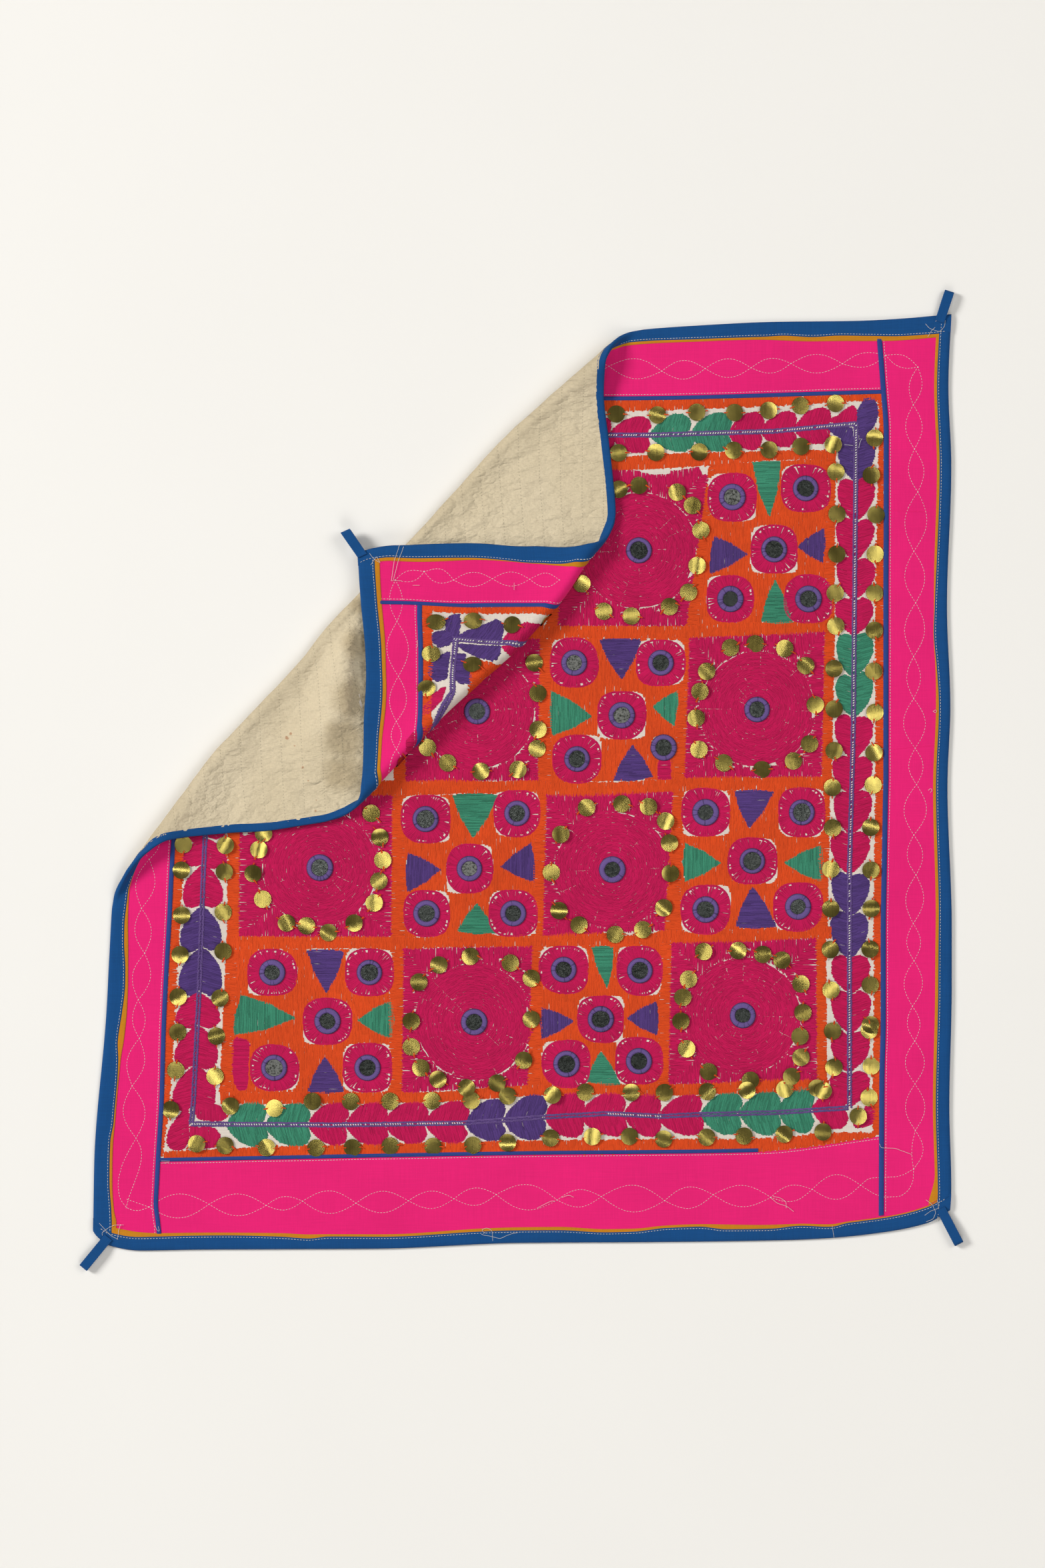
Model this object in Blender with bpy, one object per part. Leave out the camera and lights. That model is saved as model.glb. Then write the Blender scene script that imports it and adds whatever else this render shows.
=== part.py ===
"""Mirror work tapestry: a square embroidered hanging, laid flat, with one corner folded over twice.

The cloth is built flat first, piece by piece, in its own plane: u runs to the right and v upwards along the
cloth, and w is the height through its layers, from the lining's underside at 0 up to the face. Each piece is
then carried through one fold function, which rolls the top left corner over the cloth to show the lining,
and rolls its tip back again to show the face. The origin is on the floor under the middle of the cloth.
"""

import math

import bmesh
import bpy
import numpy as np

MM = 0.001

# Levels through the layers, in millimetres above the lining's underside
SHEET = 1.0
SEAM_GAP = 0.3
LINING_TOP = SHEET
FACE_LOW = LINING_TOP + SEAM_GAP
FACE_TOP = FACE_LOW + SHEET
TRIM_LOW = FACE_TOP + SEAM_GAP
TRIM_TOP = TRIM_LOW + SHEET

# Binding tape: lips on the face and on the back, and the fold round the raw edge
FRONT_LIP_TOP_RIGHT = 14.5
FRONT_LIP_BOTTOM_LEFT = 17.0
BACK_LIP = 8.5
TAPE_WALL = 1.0
RAW_EDGE_GAP = 0.9
RAW_EDGE = TAPE_WALL + RAW_EDGE_GAP

# Flat piping folds that show beside the binding and round the embroidered panel
OUTER_PIPING = 3.2
INNER_PIPING_TOP = 3.6
INNER_PIPING_SIDE = 3.4
INNER_PIPING_RIGHT = 5.6
BUTT_GAP = 0.4
END_GAP = 0.8

# Outline of the flat cloth: each row is a distance along the side and where its edge lies
TOP_EDGE = [(-411, 455), (-399, 465), (-373, 472), (-299, 474), (-229, 468), (-172, 460), (-140, 465),
            (-109, 474), (-68, 471), (-28, 467), (33, 461), (60, 461), (90, 467), (120, 472), (184, 477),
            (268, 481), (352, 482), (394, 484), (452, 489)]
BOTTOM_EDGE = [(-451, -470), (-447, -477), (-431, -489), (-399, -494), (-340, -493), (-150, -492),
               (-4, -486), (142, -485), (279, -483), (322, -481), (379, -475), (427, -465), (452, -451)]
LEFT_EDGE = [(-463, -449), (-403, -448), (-241, -435), (-182, -432), (-120, -428), (-91, -421), (-60, -410),
             (-30, -403), (33, -407), (95, -413), (143, -409.5), (200, -391), (261, -389), (351, -394),
             (407, -402), (455, -408)]
RIGHT_EDGE = [(-470, 449), (-427, 452), (-343, 450), (-217, 452.5), (-154, 452.5), (-7, 448), (77, 451),
              (182, 447.5), (329, 452), (413, 449), (488, 452)]

# Seams between the pink strips and the embroidered panel, in the same columns
TOP_SEAM = [(-387, 411), (-279, 410), (-229, 406), (-180, 401), (-100, 402), (91, 402), (380, 409)]
BOTTOM_SEAM = [(-378, -400), (-1, -393), (249, -390), (378, -374)]
LEFT_SEAM = [(-474, -377), (-426, -378), (-357, -377), (-228, -374), (-91, -368), (33, -354), (143, -347),
             (261, -334), (351, -338), (407, -340), (455, -341)]
RIGHT_SEAM = [(-457, 380.5), (-273, 382), (49, 384), (307, 387), (461, 380.5)]
BOTTOM_PIPING_END = 249

# The first crease: a line through this point of the cloth, running down to the left
CREASE_POINT = (-148.05, 203.0)
CREASE_DIRECTION = (-0.6823, -0.7311)

# Rows along the first crease: place along it, how far it bows out, and the radius of its roll
FIRST_FOLD = [(-400, -9, 11), (-316, 0, 10), (-252, 6.6, 8), (-190, 11, 7), (-77, 9.5, 6.5), (68, 11, 6.5),
              (121, 7, 6.5), (237, 8, 8), (316, 0, 10), (394, -9, 11), (420, -14, 11)]
# Rows along the second crease: place along it, how far in from the first, and the radius of its roll
SECOND_FOLD = [(-210, -139, 6), (-176, -141, 6), (-119, -150, 6), (-53, -151, 6), (0, -146, 6),
               (82, -141, 6), (149, -141, 6), (201, -138, 6), (240, -136, 6)]
FIRST_OVERTURN = 0.35
SECOND_OVERTURN = 0.30
FLAP_HEIGHT = 9.0
TIP_HEIGHT = 15.0
TIP_DROOP = 0.12
TIP_DROOP_LENGTH = 9.0
TIP_REACH = 150.0
ROLL_STEPS = 6
EASE_STEPS = 2
DROOP_STEPS = 1

# Cell sizes of the meshes
STEP_ALONG_CREASE = 74
CREASE_LINES = [STEP_ALONG_CREASE * k for k in range(-6, 7)]
STEP_ALONG_SIDE = 74
CORNER_STATIONS = [-444, -434, -418, -401, -388, 392, 414, 431]
SIDE_STATIONS = sorted([STEP_ALONG_SIDE * k for k in range(-5, 6)] + CORNER_STATIONS)
FINE_SAMPLES = 12
END_CLEAR = 1.5
CUT_REACH = 1e-5
ON_LINE = 1e-3
WELD = 0.03

# Hanging loops: name, place of the base, heading in degrees, free length
LOOPS = [
    ("loop_top_right", 442.0, 488.5, 71.7, 26.0),
    ("loop_bottom_left", -438.0, -486.0, 230.6, 34.0),
    ("loop_bottom_right", 444.5, -457.0, 297.5, 34.0),
    ("loop_top_left", -408.0, 463.0, 125.3, 26.0),
]
LOOP_WIDTH = 10.0
LOOP_SEWN = 8.0
LOOP_THICKNESS = 0.9
LOOP_EYE = 6.0
LOOP_EDGE = 3.5
LOOP_SLOPE = 10.0
LOOP_END_STEPS = 6

# Mirrors: name of the square, and the middle of each disc on the cloth
MIRROR_RADIUS = 10.0
MIRROR_THICKNESS = 1.2
MIRROR_SIDES = 8
FLOWER_MIRRORS = [(124, 241), (-46, 72), (248, 74), (-211, -92), (96, -94), (-49, -254), (233, -247)]
FIVE_MIRROR_SQUARES = [
    [(222, 297), (299, 306), (266, 242), (220, 190), (302, 190)],
    [(56, 123), (147, 123), (106, 68), (59, 22), (150, 34)],
    [(-100, -41), (-4, -35), (-54, -93), (-99, -140), (-8, -140)],
    [(194, -34), (295, -34), (243, -85), (194, -136), (291, -133)],
    [(-261, -202), (-159, -202), (-203, -253), (-259, -302), (-161, -302)],
    [(45, -199), (125, -200), (84, -251), (48, -298), (124, -295)],
]

# Colours: name, red, green, blue, roughness, metallic
FINISHES = {
    "lining_linen": (0.62, 0.53, 0.35, 0.90, 0.0),
    "pink_cotton": (0.86, 0.02, 0.20, 0.80, 0.0),
    "embroidered_ground": (0.55, 0.03, 0.12, 0.75, 0.0),
    "blue_tape": (0.01, 0.08, 0.25, 0.80, 0.0),
    "ochre_tape": (0.62, 0.25, 0.02, 0.80, 0.0),
    "violet_tape": (0.03, 0.06, 0.27, 0.80, 0.0),
    "mirror_glass": (0.20, 0.21, 0.20, 0.08, 0.9),
}


def clear_scene():
    """Empty the scene so that the file gives the same result each run."""
    for item in list(bpy.data.objects):
        bpy.data.objects.remove(item, do_unlink=True)


def finish(name):
    """The named material, made once."""
    found = bpy.data.materials.get(name)
    if found:
        return found
    red, green, blue, roughness, metallic = FINISHES[name]
    made = bpy.data.materials.new(name)
    made.use_nodes = True
    shader = made.node_tree.nodes["Principled BSDF"]
    shader.inputs["Base Color"].default_value = (red, green, blue, 1.0)
    shader.inputs["Roughness"].default_value = roughness
    shader.inputs["Metallic"].default_value = metallic
    made.diffuse_color = (red, green, blue, 1.0)
    return made


def smooth_rows(rows, column, at):
    """A smooth curve through one column of a table, without overshoot, held at its ends' slopes."""
    table = np.array(rows, float)
    places, values = table[:, 0], table[:, column]
    widths = np.diff(places)
    slopes = np.diff(values) / widths
    tangents = np.zeros(len(values))
    tangents[0], tangents[-1] = slopes[0], slopes[-1]
    same_way = slopes[:-1] * slopes[1:] > 0
    before = np.where(same_way, slopes[:-1], 1.0)
    after = np.where(same_way, slopes[1:], 1.0)
    weight_before = 2 * widths[1:] + widths[:-1]
    weight_after = widths[1:] + 2 * widths[:-1]
    harmonic = (weight_before + weight_after) / (weight_before / before + weight_after / after)
    tangents[1:-1] = np.where(same_way, harmonic, 0.0)
    at = np.asarray(at, float)
    k = np.clip(np.searchsorted(places, at) - 1, 0, len(widths) - 1)
    x = np.clip((at - places[k]) / widths[k], 0, 1)
    inside = (
        values[k] * (1 + 2 * x) * (1 - x) ** 2
        + values[k + 1] * x * x * (3 - 2 * x)
        + widths[k] * (tangents[k] * x * (1 - x) ** 2 - tangents[k + 1] * x * x * (1 - x))
    )
    below = np.minimum(at - places[0], 0) * tangents[0]
    above = np.maximum(at - places[-1], 0) * tangents[-1]
    return inside + below + above


def line(rows, shift=0.0):
    """A side line of the cloth as a function, moved across by shift."""
    return lambda at: smooth_rows(rows, 1, at) + shift


def crease_frame(points):
    """Distance out across the first crease, and distance along it, of points of the flat cloth."""
    along = np.array(CREASE_DIRECTION)
    along = along / np.linalg.norm(along)
    out = np.array((along[1], -along[0]))
    offset = points - np.array(CREASE_POINT)
    return offset @ out, offset @ along


def fold_stations(along):
    """Cross-section of the double fold at places along the crease.

    Gives, for each place, the stations' distances over the cloth, their places across and up, and headings.
    """
    along = np.clip(np.asarray(along, float), FIRST_FOLD[0][0], FIRST_FOLD[-1][0])
    inner = np.clip(along, SECOND_FOLD[0][0], SECOND_FOLD[-1][0])
    bow = smooth_rows(FIRST_FOLD, 1, along)
    first_radius = smooth_rows(FIRST_FOLD, 2, along)
    second_line = smooth_rows(SECOND_FOLD, 1, inner)
    second_radius = smooth_rows(SECOND_FOLD, 2, inner)
    first_fall = first_radius * (1 + math.cos(FIRST_OVERTURN)) - FLAP_HEIGHT
    first_ease = first_fall * FIRST_OVERTURN / (1 - math.cos(FIRST_OVERTURN))
    second_fall = second_radius * (1 + math.cos(SECOND_OVERTURN)) - (TIP_HEIGHT - FLAP_HEIGHT)
    second_ease = second_fall * SECOND_OVERTURN / (1 - math.cos(SECOND_OVERTURN))
    start = bow - first_radius
    after_first_roll = start - first_radius * math.sin(FIRST_OVERTURN)
    after_first_ease = after_first_roll - first_ease * math.sin(FIRST_OVERTURN) / FIRST_OVERTURN
    second_start = second_line + second_radius + FACE_TOP
    flap_flat = after_first_ease - second_start
    after_second_roll = second_start - second_radius * math.sin(SECOND_OVERTURN)
    after_second_ease = after_second_roll + second_ease * math.sin(SECOND_OVERTURN) / SECOND_OVERTURN
    tip_flat = np.maximum(start - after_second_ease, 1.0)
    full = np.ones_like(along)
    runs = [
        (first_radius * (math.pi + FIRST_OVERTURN), math.pi + FIRST_OVERTURN, ROLL_STEPS),
        (first_ease, -FIRST_OVERTURN, EASE_STEPS),
        (flap_flat, 0.0, 1),
        (second_radius * (math.pi + SECOND_OVERTURN), -math.pi - SECOND_OVERTURN, ROLL_STEPS),
        (second_ease, SECOND_OVERTURN, EASE_STEPS),
        (tip_flat, 0.0, 1),
        (TIP_DROOP_LENGTH * full, -TIP_DROOP, DROOP_STEPS),
        (TIP_REACH * full, 0.0, 1),
    ]
    distance, across, height, heading = [start], [start], [0 * full], [0 * full]
    for length, turn, steps in runs:
        for _ in range(steps):
            middle = heading[-1] + turn / steps / 2
            chord = length / steps * np.sinc(turn / steps / 2 / math.pi)
            distance.append(distance[-1] + length / steps)
            across.append(across[-1] + chord * np.cos(middle))
            height.append(height[-1] + chord * np.sin(middle))
            heading.append(heading[-1] + turn / steps)
    return [np.stack(values, axis=-1) for values in (distance, across, height, heading)]


# The fold as a lattice of stations across the creases and lines along them
LATTICE = fold_stations(np.array(CREASE_LINES, float))
NOMINAL_STATIONS = fold_stations(np.array([0.0]))[0][0]


def lattice_share(along):
    """The lattice line before a place along the crease, and the share of the way to the next one."""
    place = (np.clip(along, CREASE_LINES[0], CREASE_LINES[-1]) - CREASE_LINES[0]) / STEP_ALONG_CREASE
    before = min(int(place), len(CREASE_LINES) - 2)
    return before, place - before


def to_fold_frame(points):
    """Flat points as pairs: distance across, stretched so that each roll has straight edges, and along."""
    across, along = crease_frame(points)
    pairs = np.empty_like(points)
    for i, (s, t) in enumerate(zip(across, along)):
        before, share = lattice_share(t)
        row = LATTICE[0][before] * (1 - share) + LATTICE[0][before + 1] * share
        if s < row[0]:
            pairs[i, 0] = s - row[0] + NOMINAL_STATIONS[0]
        else:
            pairs[i, 0] = np.interp(s, row, NOMINAL_STATIONS)
    pairs[:, 1] = along
    return pairs


def lattice_point(before, station, level):
    """Place across and height of a lattice point, at a level above the lining's underside."""
    distance, across, height, heading = (values[before, station] for values in LATTICE)
    return np.array((across - level * math.sin(heading), height + level * math.cos(heading)))


def from_fold_frame(pairs, levels):
    """Places in space, in metres, of points given in the fold frame, at levels above the lining's underside.

    Each lattice cell is two flat triangles, so that cloths at different levels stay parallel.
    """
    along_way = np.array(CREASE_DIRECTION)
    along_way = along_way / np.linalg.norm(along_way)
    out_way = np.array((along_way[1], -along_way[0]))
    places = np.empty((len(pairs), 3))
    for i, (stretched, along) in enumerate(pairs):
        before, share = lattice_share(along)
        if stretched <= NOMINAL_STATIONS[0]:
            start = LATTICE[0][before, 0] * (1 - share) + LATTICE[0][before + 1, 0] * share
            s, z = stretched - NOMINAL_STATIONS[0] + start, levels[i]
        else:
            k = min(int(np.searchsorted(NOMINAL_STATIONS, stretched)) - 1, len(NOMINAL_STATIONS) - 2)
            part = (stretched - NOMINAL_STATIONS[k]) / (NOMINAL_STATIONS[k + 1] - NOMINAL_STATIONS[k])
            near = lattice_point(before, k, levels[i])
            far = lattice_point(before + 1, k + 1, levels[i])
            if part >= share:
                turn = lattice_point(before, k + 1, levels[i])
                s, z = near + (turn - near) * part + (far - turn) * share
            else:
                turn = lattice_point(before + 1, k, levels[i])
                s, z = near + (turn - near) * share + (far - turn) * part
        plan = np.array(CREASE_POINT) + s * out_way + along * along_way
        places[i] = (plan[0], plan[1], z)
    return places * MM


def meeting(side_line, end_line):
    """Where a line along a side meets the line that ends it."""
    along = 0.0
    for _ in range(20):
        along = float(end_line(side_line(along)))
    return along


def band_rows(lines, ends, upright):
    """Samples of the lines of a band, each from the band's start line to its end line.

    Every piece has its mesh corners at the same stations along a side, so that neighbours stay parallel.
    Gives the rows of points, and a flag for each sample that is such a corner.
    """
    firsts = [meeting(side_line, ends[0]) for side_line in lines]
    lasts = [meeting(side_line, ends[1]) for side_line in lines]
    marks = [p for p in SIDE_STATIONS if max(firsts) + END_CLEAR < p < min(lasts) - END_CLEAR]
    rows = []
    for side_line, first, last in zip(lines, firsts, lasts):
        stops = [first, *marks, last]
        count = FINE_SAMPLES * (len(stops) - 1)
        along = np.interp(np.arange(count + 1), np.arange(len(stops)) * FINE_SAMPLES, stops)
        across = side_line(along)
        rows.append(np.stack((across, along) if upright else (along, across), axis=-1))
    return rows, np.arange(count + 1) % FINE_SAMPLES == 0


def area_row(top, right, bottom, left):
    """Samples right round an area, against the clock, from its bottom left corner, and their flags."""
    points, flags = [], []
    for side_line, ends, upright, backward in (
        (bottom, (left, right), False, False), (right, (bottom, top), True, False),
        (top, (left, right), False, True), (left, (bottom, top), True, True),
    ):
        (row,), kept = band_rows([side_line], ends, upright)
        order = slice(None, 0, -1) if backward else slice(None, -1)
        points.append(row[order])
        flags.append(kept[order])
    return np.concatenate(points), np.concatenate(flags)


def new_cells(rows, kept, closed):
    """A flat mesh in the fold frame: bands between rows of points, or the area inside a closed row."""
    cells = bmesh.new()
    keep = cells.verts.layers.int.new("keep")
    made = []
    for row in rows:
        line_verts = []
        for place, flag in zip(to_fold_frame(row), kept):
            vert = cells.verts.new((place[0], place[1], 0.0))
            vert[keep] = int(flag)
            line_verts.append(vert)
        made.append(line_verts)
    if closed:
        cells.faces.new(made[0])
        return cells
    marks = [i for i, flag in enumerate(kept) if flag]
    for band in range(len(rows) - 1):
        low, high = made[band], made[band + 1]
        for a, b in zip(marks, marks[1:]):
            face = cells.faces.new(low[a:b + 1] + high[a:b + 1][::-1])
            face.material_index = band
    return cells


def cut_part(cells, faces, point, normal):
    """Cut some faces of a flat mesh along a line."""
    edges = sorted({e for f in faces for e in f.edges}, key=lambda e: e.index)
    verts = sorted({v for f in faces for v in f.verts}, key=lambda v: v.index)
    bmesh.ops.bisect_plane(
        cells, geom=verts + edges + faces, dist=CUT_REACH, plane_co=(*point, 0), plane_no=(*normal, 0)
    )
    cells.verts.index_update()
    cells.edges.index_update()


def lattice_cell(face):
    """Station and line that a face's middle lies past, or None on the unfolded cloth."""
    middle = face.calc_center_median()
    if middle.x <= NOMINAL_STATIONS[0]:
        return None
    station = min(int(np.searchsorted(NOMINAL_STATIONS, middle.x)) - 1, len(NOMINAL_STATIONS) - 2)
    return station, lattice_share(middle.y)[0]


def on_lattice(vert):
    """Whether a point of the flat mesh lies on a line of the lattice."""
    if np.min(np.abs(NOMINAL_STATIONS - vert.co.x)) < ON_LINE:
        return True
    if vert.co.x < NOMINAL_STATIONS[0]:
        return False
    if min(abs(vert.co.y - place) for place in CREASE_LINES) < ON_LINE:
        return True
    station = min(int(np.searchsorted(NOMINAL_STATIONS, vert.co.x)) - 1, len(NOMINAL_STATIONS) - 2)
    start, end = NOMINAL_STATIONS[station], NOMINAL_STATIONS[station + 1]
    return abs((vert.co.x - start) / (end - start) - lattice_share(vert.co.y)[1]) * (end - start) < ON_LINE


def cut_cells(cells):
    """Cut a flat mesh along the lattice of the fold, and drop the samples that aren't needed."""
    keep = cells.verts.layers.int["keep"]
    for station in NOMINAL_STATIONS[:-1]:
        cut_part(cells, cells.faces[:], (station, 0), (1, 0))
    for place in CREASE_LINES:
        folded = [f for f in cells.faces if lattice_cell(f)]
        cut_part(cells, folded, (0, place), (0, 1))
    groups = {}
    for face in cells.faces:
        cell = lattice_cell(face)
        if cell:
            groups.setdefault(cell, []).append(face)
    for (station, before), faces in groups.items():
        width = NOMINAL_STATIONS[station + 1] - NOMINAL_STATIONS[station]
        corner = (NOMINAL_STATIONS[station], CREASE_LINES[before])
        cut_part(cells, faces, corner, (STEP_ALONG_CREASE, -width))
    spare = [v for v in cells.verts if len(v.link_edges) == 2 and not v[keep] and not on_lattice(v)]
    bmesh.ops.dissolve_verts(cells, verts=spare)
    bmesh.ops.remove_doubles(cells, verts=cells.verts[:], dist=WELD)
    bmesh.ops.triangulate(cells, faces=cells.faces[:])
    flipped = [f for f in cells.faces if f.normal.z < 0]
    bmesh.ops.reverse_faces(cells, faces=flipped)
    cells.verts.index_update()
    cells.faces.index_update()


def add_solid(name, cells, levels, filled, material):
    """Give a flat mesh its thickness and its folds.

    levels are heights through the cloth, and filled lists, for each band of cells, the slabs between
    neighbouring levels that hold cloth.
    """
    cut_cells(cells)
    pairs = np.array([(v.co.x, v.co.y) for v in cells.verts])
    count = len(pairs)
    everywhere = np.concatenate([from_fold_frame(pairs, np.full(count, float(z))) for z in levels])
    faces = []
    for face in cells.faces:
        slabs = filled[face.material_index]
        corners = [v.index for v in face.verts]
        for slab in slabs:
            low, high = slab * count, (slab + 1) * count
            if slab + 1 not in slabs:
                faces.append([c + high for c in corners])
            if slab - 1 not in slabs:
                faces.append([c + low for c in reversed(corners)])
            for loop in face.loops:
                others = [f for f in loop.edge.link_faces if f is not face]
                if others and slab in filled[others[0].material_index]:
                    continue
                a, b = loop.vert.index, loop.link_loop_next.vert.index
                faces.append([a + low, b + low, b + high])
                faces.append([a + low, b + high, a + high])
    cells.free()
    used = sorted({i for face in faces for i in face})
    place_of = {old: new for new, old in enumerate(used)}
    mesh = bpy.data.meshes.new(name)
    mesh.from_pydata(
        [tuple(everywhere[i]) for i in used], [], [[place_of[i] for i in face] for face in faces]
    )
    mesh.materials.append(finish(material))
    made = bpy.data.objects.new(name, mesh)
    bpy.context.scene.collection.objects.link(made)
    return made


def add_strip(name, lines, ends, upright, levels, filled, material):
    """A band of cloth along one side of the tapestry."""
    rows, kept = band_rows(lines, ends, upright)
    cells = new_cells(rows, kept, closed=False)
    return add_solid(name, cells, levels, filled, material)


def inset(rows, distance, side):
    """An outline side moved in towards the middle of the cloth."""
    inward = {"top": -1, "right": -1, "bottom": 1, "left": 1}[side]
    return line(rows, inward * distance)


def add_lining():
    """The backing cloth, up to the binding's back lip."""
    reach = BACK_LIP + END_GAP
    row, kept = area_row(
        inset(TOP_EDGE, reach, "top"), inset(RIGHT_EDGE, reach, "right"),
        inset(BOTTOM_EDGE, reach, "bottom"), inset(LEFT_EDGE, reach, "left"),
    )
    cells = new_cells([row], kept, closed=True)
    return add_solid("lining", cells, [0, LINING_TOP], [[0]], "lining_linen")


def add_panel():
    """The embroidered square, which meets the pink strips under the inner piping."""
    row, kept = area_row(
        line(TOP_SEAM, -BUTT_GAP), line(RIGHT_SEAM, -BUTT_GAP),
        line(BOTTOM_SEAM, BUTT_GAP), line(LEFT_SEAM, BUTT_GAP),
    )
    cells = new_cells([row], kept, closed=True)
    return add_solid("centre_panel", cells, [FACE_LOW, FACE_TOP], [[0]], "embroidered_ground")


def add_borders():
    """Four pink strips: the sides run the full height, but the top one runs over the left one."""
    levels, filled = [FACE_LOW, FACE_TOP], [[0]]
    top = inset(TOP_EDGE, RAW_EDGE, "top")
    right = inset(RIGHT_EDGE, RAW_EDGE, "right")
    bottom = inset(BOTTOM_EDGE, RAW_EDGE, "bottom")
    left = inset(LEFT_EDGE, RAW_EDGE, "left")
    pink = "pink_cotton"
    add_strip("border_top", [line(TOP_SEAM), top], [left, line(RIGHT_SEAM, -BUTT_GAP)],
              False, levels, filled, pink)
    add_strip("border_bottom", [bottom, line(BOTTOM_SEAM)],
              [line(LEFT_SEAM, BUTT_GAP), line(RIGHT_SEAM, -BUTT_GAP)], False, levels, filled, pink)
    add_strip("border_left", [left, line(LEFT_SEAM)], [bottom, line(TOP_SEAM, -BUTT_GAP)],
              True, levels, filled, pink)
    add_strip("border_right", [line(RIGHT_SEAM), right], [bottom, top], True, levels, filled, pink)


def add_bindings():
    """Blue tape folded round the four edges: the top and bottom lengths run past the ends of the others."""
    levels = [0, SHEET, TRIM_LOW, TRIM_TOP]
    filled = [[0, 1, 2], [0, 2], [2]]
    sides = {
        "top": (TOP_EDGE, FRONT_LIP_TOP_RIGHT, False),
        "bottom": (BOTTOM_EDGE, FRONT_LIP_BOTTOM_LEFT, False),
        "left": (LEFT_EDGE, FRONT_LIP_BOTTOM_LEFT, True),
        "right": (RIGHT_EDGE, FRONT_LIP_TOP_RIGHT, True),
    }
    for side, (rows, lip, upright) in sides.items():
        lines = [inset(rows, reach, side) for reach in (0, TAPE_WALL, BACK_LIP, lip)]
        if upright:
            ends = [
                inset(BOTTOM_EDGE, FRONT_LIP_BOTTOM_LEFT + END_GAP, "bottom"),
                inset(TOP_EDGE, FRONT_LIP_TOP_RIGHT + END_GAP, "top"),
            ]
        else:
            ends = [inset(LEFT_EDGE, 0, "left"), inset(RIGHT_EDGE, 0, "right")]
        add_strip("binding_" + side, lines, ends, upright, levels, filled, "blue_tape")


def add_outer_piping():
    """Ochre folds that show along the inner edge of the binding."""
    levels, filled = [TRIM_LOW, TRIM_TOP], [[0]]
    near = {
        "top": FRONT_LIP_TOP_RIGHT, "right": FRONT_LIP_TOP_RIGHT,
        "bottom": FRONT_LIP_BOTTOM_LEFT, "left": FRONT_LIP_BOTTOM_LEFT,
    }
    edges = {"top": TOP_EDGE, "right": RIGHT_EDGE, "bottom": BOTTOM_EDGE, "left": LEFT_EDGE}
    for side, rows in edges.items():
        upright = side in ("left", "right")
        start = near[side] + END_GAP
        lines = [inset(rows, start, side), inset(rows, start + OUTER_PIPING, side)]
        if upright:
            past = OUTER_PIPING + 2 * END_GAP
            ends = [
                inset(BOTTOM_EDGE, near["bottom"] + past, "bottom"),
                inset(TOP_EDGE, near["top"] + past, "top"),
            ]
        else:
            ends = [
                inset(LEFT_EDGE, near["left"] + END_GAP, "left"),
                inset(RIGHT_EDGE, near["right"] + END_GAP, "right"),
            ]
        add_strip("outer_piping_" + side, lines, ends, upright, levels, filled, "ochre_tape")


def add_inner_piping():
    """Violet folds that cover the seams between the pink strips and the panel."""
    levels, filled = [TRIM_LOW, TRIM_TOP], [[0]]
    past = OUTER_PIPING + 2 * END_GAP
    top_end = inset(TOP_EDGE, FRONT_LIP_TOP_RIGHT + past, "top")
    bottom_end = inset(BOTTOM_EDGE, FRONT_LIP_BOTTOM_LEFT + past, "bottom")
    left_end = inset(LEFT_EDGE, FRONT_LIP_BOTTOM_LEFT + past, "left")
    violet = "violet_tape"
    add_strip("inner_piping_right", [line(RIGHT_SEAM, -INNER_PIPING_RIGHT), line(RIGHT_SEAM)],
              [bottom_end, top_end], True, levels, filled, violet)
    add_strip("inner_piping_top", [line(TOP_SEAM, -INNER_PIPING_TOP), line(TOP_SEAM)],
              [left_end, line(RIGHT_SEAM, -INNER_PIPING_RIGHT - SEAM_GAP)], False, levels, filled, violet)
    add_strip("inner_piping_left", [line(LEFT_SEAM), line(LEFT_SEAM, INNER_PIPING_SIDE)],
              [bottom_end, line(TOP_SEAM, -INNER_PIPING_TOP - SEAM_GAP)], True, levels, filled, violet)
    add_strip("inner_piping_bottom", [line(BOTTOM_SEAM), line(BOTTOM_SEAM, INNER_PIPING_SIDE)],
              [line(LEFT_SEAM, INNER_PIPING_SIDE + SEAM_GAP), lambda at: BOTTOM_PIPING_END],
              False, levels, filled, violet)


def loop_profile(length):
    """Middle line of a hanging loop seen from the side: out along its lower leg, round its end and back."""
    sewn_low = TRIM_TOP + SEAM_GAP + LOOP_THICKNESS / 2
    sewn_high = sewn_low + LOOP_THICKNESS + SEAM_GAP
    rest = LOOP_THICKNESS / 2
    radius = (LOOP_EYE + LOOP_THICKNESS) / 2
    straight = length - radius - LOOP_THICKNESS / 2
    halfway = ((LOOP_EDGE + LOOP_SLOPE) / 2, (sewn_low + rest) / 2)
    points = [(-LOOP_SEWN, sewn_low), (LOOP_EDGE, sewn_low), halfway, (LOOP_SLOPE, rest), (straight, rest)]
    for step in range(1, LOOP_END_STEPS):
        turn = math.pi * step / LOOP_END_STEPS
        points.append((straight + radius * math.sin(turn), rest + radius - radius * math.cos(turn)))
    top = rest + 2 * radius
    points += [(straight, top), (LOOP_SLOPE, top), (LOOP_EDGE, sewn_high), (-LOOP_SEWN, sewn_high)]
    return points


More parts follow.
